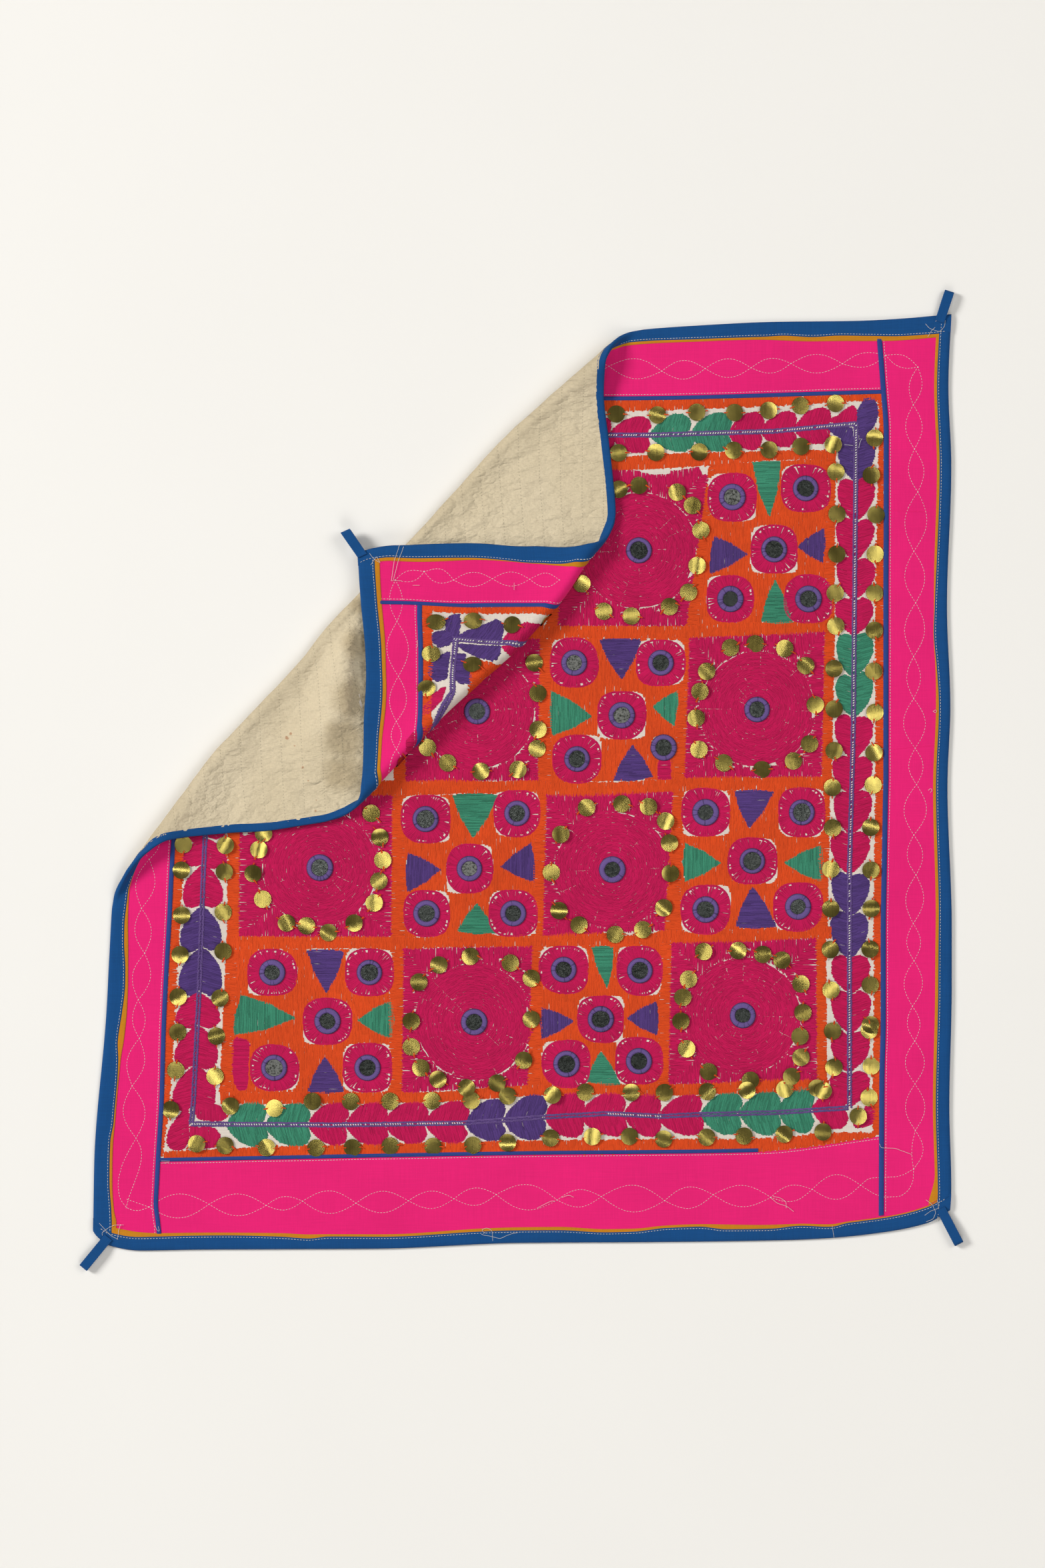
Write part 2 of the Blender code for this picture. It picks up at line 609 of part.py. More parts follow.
def add_loop(name, base_u, base_v, heading, length):
    """A hanging loop of folded tape, sewn on the face at a corner of the cloth."""
    middle = loop_profile(length)
    outer, inner = [], []
    for i, (r, h) in enumerate(middle):
        before, after = middle[max(i - 1, 0)], middle[min(i + 1, len(middle) - 1)]
        run, rise = after[0] - before[0], after[1] - before[1]
        size = math.hypot(run, rise)
        side = (rise / size * LOOP_THICKNESS / 2, -run / size * LOOP_THICKNESS / 2)
        outer.append((r + side[0], h + side[1]))
        inner.append((r - side[0], h - side[1]))
    way = math.radians(heading)
    out, across = np.array((math.cos(way), math.sin(way))), np.array((-math.sin(way), math.cos(way)))
    verts = []
    for r, h in outer + inner:
        for side in (-LOOP_WIDTH / 2, LOOP_WIDTH / 2):
            flat = np.array([(base_u, base_v)]) + r * out + side * across
            verts.append(tuple(from_fold_frame(to_fold_frame(flat), [h])[0]))
    count = len(middle)
    faces = []
    for i in range(count - 1):
        a, b = 2 * i, 2 * i + 2
        c, d = a + 2 * count, b + 2 * count
        faces += [[a, a + 1, b + 1, b], [c, d, d + 1, c + 1], [a, b, d, c], [a + 1, c + 1, d + 1, b + 1]]
    last = 2 * (count - 1)
    faces.append([0, 2 * count, 2 * count + 1, 1])
    faces.append([last, last + 1, last + 1 + 2 * count, last + 2 * count])
    mesh = bpy.data.meshes.new(name)
    mesh.from_pydata(verts, [], faces)
    mesh.materials.append(finish("blue_tape"))
    tidy = bmesh.new()
    tidy.from_mesh(mesh)
    bmesh.ops.recalc_face_normals(tidy, faces=tidy.faces[:])
    tidy.to_mesh(mesh)
    tidy.free()
    made = bpy.data.objects.new(name, mesh)
    bpy.context.scene.collection.objects.link(made)
    return made


def add_mirrors():
    """Small round mirrors, one in each flower square and five in each of the others."""
    squares = [[place] for place in FLOWER_MIRRORS] + FIVE_MIRROR_SQUARES
    places = [place for square in squares for place in square]
    disc = bmesh.new()
    bmesh.ops.create_cone(
        disc, cap_ends=True, segments=MIRROR_SIDES, radius1=MIRROR_RADIUS * MM, radius2=MIRROR_RADIUS * MM,
        depth=MIRROR_THICKNESS * MM,
    )
    mesh = bpy.data.meshes.new("mirror_disc")
    disc.to_mesh(mesh)
    disc.free()
    mesh.materials.append(finish("mirror_glass"))
    height = TRIM_LOW + MIRROR_THICKNESS / 2
    for number, (u, v) in enumerate(places, start=1):
        made = bpy.data.objects.new(f"mirror_{number:02d}", mesh)
        made.location = (u * MM, v * MM, height * MM)
        bpy.context.scene.collection.objects.link(made)


def main():
    """Build every piece of the tapestry."""
    clear_scene()
    add_lining()
    add_panel()
    add_borders()
    add_outer_piping()
    add_inner_piping()
    add_bindings()
    for row in LOOPS:
        add_loop(*row)
    add_mirrors()


main()
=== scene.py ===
"""Mirror work tapestry: the looks of a folded embroidered hanging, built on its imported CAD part.

Every piece of cloth, thread and metal is laid out on the flat cloth first, in millimetres: u to the right,
v upwards and w through the layers. One fold function then carries it into place, over the rolled top left
corner and back over its tip, in the same way as the CAD part was folded.
"""

import math
from functools import cache

import bmesh
import bpy
import numpy as np
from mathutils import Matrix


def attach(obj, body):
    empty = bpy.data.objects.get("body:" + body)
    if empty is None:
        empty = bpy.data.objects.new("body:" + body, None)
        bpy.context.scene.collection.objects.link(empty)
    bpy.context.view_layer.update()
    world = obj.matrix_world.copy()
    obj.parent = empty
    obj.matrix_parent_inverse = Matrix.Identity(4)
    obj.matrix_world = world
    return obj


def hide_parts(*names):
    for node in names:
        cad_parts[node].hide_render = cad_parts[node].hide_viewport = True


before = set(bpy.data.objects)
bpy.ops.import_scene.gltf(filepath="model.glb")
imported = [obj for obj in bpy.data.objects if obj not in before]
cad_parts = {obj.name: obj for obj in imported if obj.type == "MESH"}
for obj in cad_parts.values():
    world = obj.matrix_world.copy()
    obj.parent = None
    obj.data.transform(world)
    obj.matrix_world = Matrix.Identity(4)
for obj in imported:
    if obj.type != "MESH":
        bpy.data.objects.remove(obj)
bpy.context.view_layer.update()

bl_info = {
    "name": "Mirror Work Tapestry",
    "version": (1, 0, 0),
    "blender": (4, 5, 0),
    "location": "View3D > Sidebar > Tapestry",
    "description": "Cloth, embroidery, mirrors and sequins of a folded hanging",
    "category": "Add Mesh",
}

MM = 0.001
BODY = "root"
# The stage, in metres: half the floor's side and its level, the camera's height, and how much of the floor
# the photo shows from top to bottom. The camera's sensor is in millimetres.
FLOOR_HALF = 8.0
FLOOR_LEVEL = -0.0006
CAMERA_HEIGHT = 6.0
SEEN_HEIGHT = 1.6464
SENSOR = 36.0

# Levels through the layers, in millimetres above the lining's underside
LINING_LOW = 0.0
LINING_HIGH = 1.0
FACE_LOW = 1.3
FACE_TOP = 2.3
QUILTING_LEVEL = 2.4
SEAM_LEVEL = 2.45
TRIM_LEVEL = 3.62
SEQUIN_LEVEL = 3.75
LOOSE_LEVEL = 4.0


def table(text):
    """Rows of numbers from text, where a comma ends a row."""
    return [tuple(float(word) for word in row.split()) for row in text.split(",")]


def tables(text):
    """Several tables from text, where a semicolon ends a table."""
    return [table(part) for part in text.split(";")]


# Outline of the flat cloth: each row is a distance along the side and where its edge lies
EDGES = {
    "top": table("""-411 455, -399 465, -373 472, -299 474, -229 468, -172 460, -140 465, -109 474, -68 471,
        -28 467, 33 461, 60 461, 90 467, 120 472, 184 477, 268 481, 352 482, 394 484, 452 489"""),
    "bottom": table("""-451 -470, -447 -477, -431 -489, -399 -494, -340 -493, -150 -492, -4 -486, 142 -485,
        279 -483, 322 -481, 379 -475, 427 -465, 452 -451"""),
    "left": table("""-463 -449, -403 -448, -241 -435, -182 -432, -120 -428, -91 -421, -60 -410, -30 -403,
        33 -407, 95 -413, 143 -409.5, 200 -391, 261 -389, 351 -394, 407 -402, 455 -408"""),
    "right": table("""-470 449, -427 452, -343 450, -217 452.5, -154 452.5, -7 448, 77 451, 182 447.5,
        329 452, 413 449, 488 452"""),
}

# Widths of the binding on the face, and of binding and ochre piping together: place along the side, then both
LIPS = {
    "top": table("""-375 14 18, -330 15 18.5, -290 15.5 17.5, -240 15.7 16.2, -200 15.5 17, -170 14.5 18.5,
        0 13 17, 102 12 15, 181 14.4 16.9, 216 15.1 17.6, 255 15.6 18.7, 274 14.9 19.8, 306 16.7 21.1,
        334 15.4 21, 366 16.5 21.8, 397 18.5 23, 436 19.4 23"""),
    "bottom": table("""-414 14.2 20.5, -379 14.7 18.2, -315 15 17.8, -250 13.2 16.9, -222 11.3 15.5,
        -202 13.3 15.7, -127 12.5 15.1, -43 13.4 16.4, 40 13.2 16.6, 89 10.7 14, 118 11.3 14.3,
        153 14.9 17.4, 188 15.8 18.4, 215 12.8 17.7, 261 12.5 16.6, 292 14.8 16.9, 327 12 14.6, 344 14.6 16,
        391 15.4 16.5, 436 17.3 18.7"""),
    "left": table("""-463 19.6 24.5, -451 18.9 21.7, -423 16.6 19.6, -379 16.1 19.1, -359 18.1 19.7,
        -323 18.1 19.4, -295 16.9 19.3, -273 14.4 20.7, -242 16.6 21.6, -218 18.2 21.4, -199 17.7 20.7,
        -170 14.9 19.2, -149 14.3 17.9, -123 15.4 16.9, -93 15.2 15.8, 0 16 18, 143 16 19, 300 16.3 20,
        450 16.3 21"""),
    "right": table("""-441 13.9 23, -413 14.4 17.3, -231 14.4 17.6, 7 12.2 15.2, 77 12.2 15.2,
        119 13.2 14.6, 150 14.6 15.1, 183 13 13.8, 238 12 14.6, 329 12.4 15.2, 446 12 15"""),
}

# Seams between the pink strips and the embroidered panel, in the same columns
SEAMS = {
    "top": table("-387 407, -279 411, -229 410, -180 407.5, -100 404, 91 402, 380 409"),
    "bottom": table("-378 -400, -1 -393, 249 -390, 378 -374"),
    "left": table("""-463 -383, -444 -385, -423 -384, -395 -382.5, -337 -379, -266 -377, -220 -375,
        -149 -371, -70 -367, 33 -354, 143 -347, 261 -336.5, 351 -341, 407 -346, 455 -348"""),
    "right": table("""-457 380.5, -315 381.2, -252 382.6, -161 382.6, -94 383.6, -30 384.7, 7 385.4,
        200 385.4, 266 385.7, 364 385.7, 412 382.5, 460 378.8"""),
}
BOTTOM_PIPING_END = 249

# The two creases, as in the CAD part: a line over the cloth, then rows of place, line and radius along it
CREASE_POINT = (-148.05, 203.0)
CREASE_DIRECTION = (-0.6823, -0.7311)
FIRST_FOLD = table("""-400 -9 11, -316 0 10, -252 6.6 8, -190 11 7, -77 9.5 6.5, 68 11 6.5, 121 7 6.5,
    237 8 8, 316 0 10, 394 -9 11, 420 -14 11""")
SECOND_FOLD = table("""-210 -139 6, -176 -141 6, -119 -150 6, -53 -151 6, 0 -146 6, 82 -141 6, 149 -141 6,
    201 -138 6, 240 -136 6""")
FIRST_OVERTURN = 0.35
SECOND_OVERTURN = 0.30
FLAP_HEIGHT = 9.0
TIP_HEIGHT = 15.0
TIP_DROOP = 0.12
TIP_DROOP_LENGTH = 9.0
TIP_REACH = 150.0
FADE = 20.0

# Hanging loops: place of the base, heading in degrees, free length, and the CAD node
LOOPS = [
    (442.0, 488.5, 71.7, 26.0, "loop_top_right"),
    (-438.0, -486.0, 230.6, 34.0, "loop_bottom_left"),
    (444.5, -457.0, 297.5, 34.0, "loop_bottom_right"),
    (-408.0, 463.0, 125.3, 26.0, "loop_top_left"),
]

# Mirrors, in the CAD nodes' order: the middle of each disc on the cloth
FLOWER_MIRRORS = table("124 241, -46 72, 248 74, -211 -92, 96 -94, -49 -254, 233 -247")
FIVE_MIRROR_SQUARES = tables("""222 297, 299 306, 266 242, 220 190, 302 190; 56 123, 147 123, 106 68, 59 22,
    150 34; -100 -41, -4 -35, -54 -93, -99 -140, -8 -140; 194 -34, 295 -34, 243 -85, 194 -136, 291 -133;
    -261 -202, -159 -202, -203 -253, -259 -302, -161 -302; 45 -199, 125 -200, 84 -251, 48 -298, 124 -295""")
# Triangles of each square: above, below, left and right of the middle, each as its base's ends and its apex
TRIANGLES = tables("""243 333, 273 334, 261 276; 252 166, 285 165, 267 211; 203 256, 198 216, 238 237;
    319 265, 317 228, 290 245; 82 147, 126 147, 106 105; 97 0, 139 3, 117 37; 31 94, 33 46, 75 67; 165 94,
    161 57, 138 77; -72 -16, -24 -16, -50 -61; -67 -159, -27 -161, -46 -129; -119 -76, -119 -118, -84 -94;
    11 -66, 14 -107, -21 -91; 224 -12, 266 -12, 240 -51; 225 -154, 268 -154, 243 -111; 172 -66, 172 -107,
    210 -87; 316 -68, 316 -107, 276 -87; -225 -179, -185 -180, -204 -224; -224 -327, -185 -327, -206 -290;
    -294 -225, -302 -268, -236 -250; -135 -231, -135 -272, -172 -252; 74 -175, 97 -175, 91 -219; 69 -317,
    104 -320, 84 -284; 22 -239, 22 -272, 56 -253; 143 -232, 143 -268, 111 -250""")
GREEN_ABOVE = [True, False, True, False, False, True]
# Magenta blocks beside two of the discs, in photo pixels
MAGENTA_BLOCKS = tables("""987 1138, 1007 1138, 1007 1169, 987 1169; 352 1557, 356 1556, 372 1559.6,
    374.7 1565, 374 1596, 372.6 1624, 370.5 1635, 358 1636, 351 1624, 348.7 1607, 348 1582, 349.4 1565""")
CLOUDED_MIRRORS = [8, 13, 15, 20, 31]
BARE_RING = (150, 34)

# Orange bands of the grid: rows of u and v along the upper edge of each band, then along its lower edge
BAND_TOPS = tables("""-288 347, -265 344, -150 340, 105 338.5, 153 342, 196 343, 259 345, 330 346; -300 155,
    -127 157, 43 162, 145 161, 176 162, 204 164, 282 166, 328 168.5; -308 -3, -127 -1, -97 -0.5, -73 1.5,
    -54 -1, -24 -2, 17 0, 32 -3, 103 -2.5, 137 -0.5, 174 2.5, 230 4, 249 1.5, 281 4, 327 3; -309 -164,
    -127 -164.5, -104 -166, -73 -163, 29 -164, 48 -160.5, 79 -160, 111 -163.5, 136 -162.5, 150 -157.5,
    226 -156, 326 -154; -316 -327.5, -104 -328, -73 -327, -42 -324, 9 -320, 48 -321, 69 -317, 107 -320,
    184 -319, 258 -314, 323 -315""")
BAND_BOTTOMS = tables("""-288 330, -265 329, -150 325, 100 325, 153 327.5, 196 330.5, 223 332, 259 336,
    330 337; -300 143, -127 146, 43 148.5, 176 149, 204 150.5, 282 153, 328 156.5; -308 -16, -119 -16,
    -73 -14, -54 -13.5, 17 -15, 56 -17.5, 103 -16, 137 -13, 205 -10.5, 281 -10, 327 -8; -309 -178,
    -165 -176, -135 -178, -73 -175, 48 -174.5, 79 -173, 111 -174.5, 153 -171, 226 -170, 308 -166, 326 -166;
    -316 -340, -104 -338.5, -73 -337, -42 -334.5, 9 -331, 69 -328.5, 107 -330.5, 142 -331.5, 216 -329,
    323 -326""")
# Bands along the seams: place along the side, and how far the band reaches from the seam
BAND_REACH = {
    "top": table("-345 9.5, -180 9.5, -60 13, 91 14.7, 300 12, 383 9"),
    "bottom": table("-374 9.5, -250 12.9, 118 14.3, 257 13, 314 12.5, 332 10.3, 372 4.3"),
    "left": table("-396 6, -360 8, -300 12, -200 12.8, 33 13.5, 200 12.5, 405 12.5"),
    "right": table("-372 11, -300 11.3, 0 12.5, 168 13, 300 11, 370 8.7, 405 8.7"),
}
# Squares of each row: left and right edge at the top of the square, then at its bottom
SQUARE_SIDES = tables("""-276 -130 -288 -131, -117 31 -119 27, 43 198 39 174, 205 320 186 319;
    -291 -132 -292 -133, -120 20 -121 18, 32 167 32 161, 177 319 172 316; -295 -135 -296 -136,
    -121 16 -122 11.5, 27 160 23 151, 171 314 167 312; -297 -137 -304 -139, -123 12 -125 7, 24 147 20 144,
    158 310 155 311""")
GRID_EDGE_WIDTH = (12, 10)

# The leaf border on each side of the panel: its stem, the places of the leaves' ends with the colours between
# them, and how far the leaves reach outwards and inwards
LEAF_SIDES = {
    "top": (table("-309 370, -237 369, -80 364, 94 362, 136 362, 265 366, 352 374"),
        """-218 m -180 m -140 m -100 m -60 m -20 m 20 m 57 m 94 m 135 g 177 g 218 m 252 m 286 m
        324""", 21.0, 19.0),
    "left": (table("""370 -306, 330 -306, 310 -304, 285 -316, 270 -322, 100 -324, -91 -333, -225 -338,
        -341 -344, -361 -346"""),
        """276 m 234 m 192 g 150 g 108 m 66 m 24 m -18 m -61 m -90 m -133 p -176 p -224 m -258 m -300 m
        -343""", 22.0, 23.0),
    "bottom": (table("""-346 -361, -196 -362, -61 -360, 20 -354, 90 -350, 147 -353, 190 -351, 268 -349,
        345 -344"""),
        """-309 g -269 g -223 m -184 m -144 m -101 m -58 p -19 p 25 m 63 m 108 m 144 m 188 g 229 g 269 g
        306 m 340""", 23.0, 24.0),
    "right": (table("374 352, 369 352, 49 349, -91 345, -344 345"),
        """-342 m -307 m -266 m -224 m -186 p -142 p -100 m -57 m -15 m 22 m 66 g 109 g 152 m 189 m 231
        m 273 m 314 p 356""", 21.5, 20.0),
}
LEAF_OUTLINE = table("""0 0, 0.02 0.2, 0.16 0.5, 0.36 0.8, 0.6 0.98, 0.84 1, 1.02 0.82, 1.08 0.5, 1.03 0.2,
    0.94 0""")

# Width of a photo pixel in millimetres, and the photo pixel at the cloth's middle
PIXEL = 0.7
PHOTO_MIDDLE = (781.5, 1170.0)
# Layers that the photo shows
MAIN, FLAP, TIP = 0, 1, 2

# The ridge on the flap beside the tip: rows of v and u in the photo's plane, and where the tip's edge lies
RIDGE = table("-6 -199, 14 -210, 37 -210, 68 -191.5, 104 -184.5, 143 -181.5, 189 -170")
RIDGE_FOOT = -163.0
RIDGE_HEIGHT = table("-12 0, 30 7, 65 13.5, 110 15, 150 13, 192 5, 208 0")
# Painted shade on the slope of the ridge, where the flap falls away from the light: photo pixels and reach in
# millimetres
SLOPE_SHADE = table("537 909, 535 967, 526 1049, 516 1107, 517 1160")
SLOPE_SHADE_SIZES = [16, 26, 34, 36, 34]
QUILT_PITCH = 0.021

# Marks on the linen of the flap, in photo pixels, and their sizes in millimetres
STAINS = table("431 1107, 437 1100, 443 1119, 455 1151, 463 1171, 475 1200, 474 1216")
STAIN_SIZES = (4.5, 4.0, 3.0, 3.5, 3.0, 3.0, 3.5)

# Double wave of quilting round the strips: photo pixels of each crossing and the swing of the lines after it,
# with a fourth number where the second line swings otherwise
WAVES = [
    (MAIN, table("""835 553 14, 913.5 549.7 15, 993 557 14, 1058 553 14, 1127 552 11, 1186.7 545.6 14,
        1264 546 11 10, 1329 533.5 9, 1377 551 9.5, 1370.2 607.6 12.4, 1372 673.7 11.5, 1377 738 16.4,
        1371 827 15, 1373.8 904.3 15, 1370.6 985 10.3, 1370.8 1047.8 16.4, 1373 1122.4 10.7,
        1375.2 1177 16.8, 1371 1252.5 11.7, 1374.3 1312.4 13.4, 1370.2 1385.2 10.4, 1371.3 1441 13.8,
        1369 1509.2 9.5, 1372.4 1561.4 14.3, 1372.7 1625.7 14.6, 1373.3 1695.5 4 13, 1370.6 1753 0""")),
    (MAIN, table("""1291.2 1777.6 19 18, 1218.6 1783.8 12, 1156.4 1795.8 16, 1070 1791.8 16,
        997.3 1800.7 20, 902.2 1794.6 13, 836 1799.8 19, 744.6 1791.5 13, 681.3 1797.9 13, 612.9 1800.9 16,
        534.3 1804.5 17, 454.2 1801.5 10, 399.6 1807.9 16.4, 313.9 1806.1 17.5 18.5, 223.5 1810.2 0""")),
    (MAIN, table("""229 1240 13, 224 1289 14.2, 212.7 1362.4 12.3, 217.3 1429.8 13.5, 207.8 1499.6 9.6,
        209.4 1557.5 13.1, 198.6 1628.6 16.3, 204.5 1707.1 0""")),
    (TIP, table("""840 872 10, 795 870 10.5, 739 869 10.5, 681 871 10.5, 637 858.4 9, 594 871 9,
        596.3 933 15, 598.5 1015 12, 595.7 1082.8 7, 597 1125.6 13, 596 1200 0""")),
]
WAVE_CORNER = tables("""1370.6 1753, 1357 1761.4, 1345.7 1765, 1325 1765.7, 1303 1767, 1291.2 1777.6;
    1370.6 1753, 1370 1771.4, 1363 1785.7, 1351.4 1794.3, 1325.7 1795.7, 1310 1790, 1291.2 1777.6;
    204.5 1707, 193.9 1725.5, 183.7 1746, 177.6 1770, 177.6 1783, 180.6 1799, 190.8 1812, 201 1815.7,
    213 1815, 223.5 1810.2; 204.5 1707, 211.5 1720, 213.3 1734, 209.2 1754, 200 1779, 193.9 1795,
    189.8 1811; 191.8 1799, 223.5 1810.2""")
# Loose threads, tacks and short seams: the layer they lie on, and photo pixels along each
LOOSE_THREADS = {
    MAIN: tables("""150 1835, 160 1846, 168 1854, 177 1858; 154 1852, 153 1849, 162 1842, 172 1837,
        185 1837; 181 1837, 178 1846, 178 1852, 176.5 1858; 233 1838, 236 1845, 240 1847, 238 1840;
        729 1849, 724 1847, 723 1844, 727 1842, 731.6 1841.5, 736 1843.5, 738.7 1846.2, 739.4 1860;
        723 1851, 727 1852.6, 735 1853.5, 740 1855, 750.5 1857.6, 760 1853, 768 1850, 776 1848.6; 807 1811,
        826 1801.4, 831 1801; 843.7 1795.5, 852 1792.4, 856 1793, 860 1795; 1156 1796, 1166 1804.5,
        1177.6 1808, 1181 1809.4, 1190 1816.4; 1161 1794.5, 1171 1796.5, 1179 1802, 1179.3 1810.7;
        1319.4 1716, 1321.8 1721.5, 1342.7 1722, 1366.7 1731; 1248.5 1839, 1251 1855.5; 1400 1067,
        1403 1064, 1406 1067, 1403 1070, 1401 1068; 1393 1185, 1396 1182, 1399 1185, 1396 1188; 1390 1800,
        1398 1806, 1404 1818, 1400 1828, 1390 1832; 1388 1822, 1396 1816, 1408 1812, 1406 1800; 1389 487,
        1394 493, 1402 496, 1410 498, 1417 490, 1418 480, 1411 476, 1404 482; 1392 505, 1397 497, 1402 492;
        1277 640, 1280.7 645.6, 1280 654; 1292.6 659, 1289.8 663.8, 1288.4 671.5; 1267.4 667.3,
        1278.6 668.7; 243 1741, 254 1741.3; 243 1744.5, 253 1743"""),
    TIP: tables("""556 832, 562 840, 572 846, 566 836, 558 848; 600 820, 592 842, 588 871; 606 822, 598 842,
        591 870; 588 872, 602 872; 621 879, 629 879; 771.4 876, 771.4 885; 626.7 962, 626.7 970; 775 964,
        777 968"""),
}
PINK_SEAMS = {
    MAIN: tables("1334 766, 1390 768; 1341 1124, 1402 1118"),
}

# Odd leaves at the three flat corners: colour, heading of the strands, and photo pixels round each
CORNER_LEAVES = [
    ("magenta", 20, table("""282 1663.5, 285 1674.7, 282.8 1680, 283.5 1688.7, 285 1701.4, 282 1714,
        276.5 1722.4, 265.3 1725.2, 255.4 1722.4, 250.5 1714, 251.2 1702.8, 256.8 1688.7, 265.3 1677.5,
        273.7 1666.3""")),
    ("magenta", 90, table("""294.7 1656.5, 301.7 1658, 315.8 1659.3, 324.2 1656.5, 332.6 1660.7,
        338.2 1667.7, 341 1675.4, 332.6 1680.3, 318.6 1681.7, 304.5 1679.6, 296 1676.8, 292.6 1666.3""")),
    ("magenta", 90, table("""285 1688.7, 299 1690.8, 313 1690, 324.2 1693, 331.2 1702.8, 329.8 1709.8,
        322.8 1719.6, 313 1721.7, 301.7 1722.4, 289 1718.2, 285.6 1705.6""")),
    ("magenta", 20, table("""1299 1660, 1309 1658.6, 1314.8 1665, 1314.8 1675, 1309 1685.4, 1296.3 1690.5,
        1283.6 1691.8, 1279.7 1685.4, 1286 1677.8""")),
    ("purple", 15, table("""1296.8 597.2, 1310.8 596.5, 1312.2 602, 1315.8 609, 1317.2 620.3, 1313.7 633,
        1309.4 641.4, 1303.8 649.8, 1301 658.2, 1289.8 658.2, 1286.3 644.2, 1285.6 627.3, 1287 614.7,
        1292.6 605""")),
    ("purple", 70, table("""1240.7 644.2, 1253.3 640.6, 1267.4 640.6, 1278.6 642.8, 1281.4 658.2,
        1280 666.6, 1273 668, 1264.5 663.8, 1261.7 656.8, 1252 652.6""")),
    ("magenta", 75, table("""1242.8 628.8, 1256 624.5, 1266 616, 1273 611.2, 1280 609, 1285.6 614.7,
        1285.6 627.3, 1284.2 633.7, 1270 634.4, 1243.5 633""")),
]
# Odd leaves at the folded tip's corner: colour, heading, and places of the flat cloth round each
TIP_LEAVES = [
    ("purple", 80, table("-307.7 370.8, -317 380, -317.7 391, -313 397, -305.5 398.6, -304 389, -304.5 374")),
    ("purple", 40, table("-308.7 369.7, -316 379, -328 375, -329.7 367.5, -321.6 359, -313 362, -309 367.5")),
    ("purple", 60, table("-306 372, -299 379, -282 388, -268 394, -261 389, -261 380, -263 371")),
    ("purple", 60, table("-304.4 364, -296 357, -283 351, -268 348, -263 355, -262.4 365")),
    ("purple", 0, table("-311 355, -319.5 350.4, -330 338.6, -329.7 328, -320.5 320, -312 324.7")),
    ("purple", 0, table("-306 352.5, -296 354, -295 346, -287 328, -289.4 320.4, -296 318.7, -303.4 324.7")),
    ("magenta", 70, table("-261.6 373, -253 381.5, -238 389.4, -224 389, -220 386, -233.7 371")),
    ("magenta", 70, table("-262 365, -253 357, -244.4 357, -233.7 365.4")),
    ("magenta", 0, table("-311 317, -323.7 305.4, -332.3 290.4, -333.4 282, -326 284, -315 299")),
]


# Settings


def amount(name, description, default, **more):
    """A size property, in millimetres of cloth unless it says otherwise."""
    return bpy.props.FloatProperty(name=name, description=description, default=default, **more)


class ClothSettings(bpy.types.PropertyGroup):
    """Sizes of the cloth, its tapes and its folds of piping."""

    cell: amount("Cell", "Size of the cloth's mesh cells", 9.0)
    back_lip: amount("Back lip", "Width of the binding on the lining", 8.5)
    waves: amount("Waves", "Height of the cloth's own unevenness", 0.5)
    puckers: amount("Puckers", "Height of the lining's puckers", 1.9)


class ThreadSettings(bpy.types.PropertyGroup):
    """Sizes of the embroidery floss and of the sewing thread."""

    pitch: amount("Strand pitch", "Distance between strands of floss", 1.15)
    orange_pitch: amount("Orange pitch", "Distance between strands in the orange areas", 1.35)
    height: amount("Strand height", "How far a strand stands above the ground cloth", 0.48)
    stitch_pitch: amount("Stitch pitch", "Distance from one machine stitch to the next", 3.15)
    stitch_length: amount("Stitch length", "Length of thread that shows in one machine stitch", 2.3)
    stitch_width: amount("Stitch width", "Thickness of the sewing thread", 0.62)


class MetalSettings(bpy.types.PropertyGroup):
    """Sizes of the sequins and of the rings that hold the mirrors."""

    sequin: amount("Sequin", "Diameter of a sequin", 18.4)
    tilt: amount("Tilt", "Most that a sequin leans", 0.11, subtype="ANGLE")
    ring_outside: amount("Ring outside", "Outer radius of the thread ring round a mirror", 14.0)
    ring_inside: amount("Ring inside", "Radius of the mirror that shows", 8.8)


def colour(name, value):
    """A colour property with its default."""
    return bpy.props.FloatVectorProperty(
        name=name, description=name + " of the tapestry", default=value, min=0, max=1, subtype="COLOR")


class ColourSettings(bpy.types.PropertyGroup):
    """Colours of the cloths and threads."""

    pink: colour("Pink cotton", (0.81, 0.014, 0.172))
    magenta: colour("Magenta floss", (0.53, 0.006, 0.082))
    orange: colour("Orange floss", (0.70, 0.068, 0.010))
    purple: colour("Purple floss", (0.068, 0.033, 0.150))
    green: colour("Green floss", (0.034, 0.185, 0.110))
    ground: colour("Ground cotton", (0.72, 0.635, 0.55))
    lining: colour("Lining linen", (0.675, 0.57, 0.395))
    blue: colour("Blue tape", (0.006, 0.068, 0.220))
    ochre: colour("Ochre piping", (0.56, 0.215, 0.010))
    violet: colour("Violet piping", (0.026, 0.057, 0.235))
    thread: colour("Sewing thread", (0.84, 0.80, 0.75))
    sequin: colour("Sequin metal", (0.46, 0.37, 0.092))


def settings():
    """The add-on's settings in this scene."""
    scene = bpy.context.scene
    return scene.tapestry_cloth, scene.tapestry_thread, scene.tapestry_metal, scene.tapestry_colours


# Lines and the fold


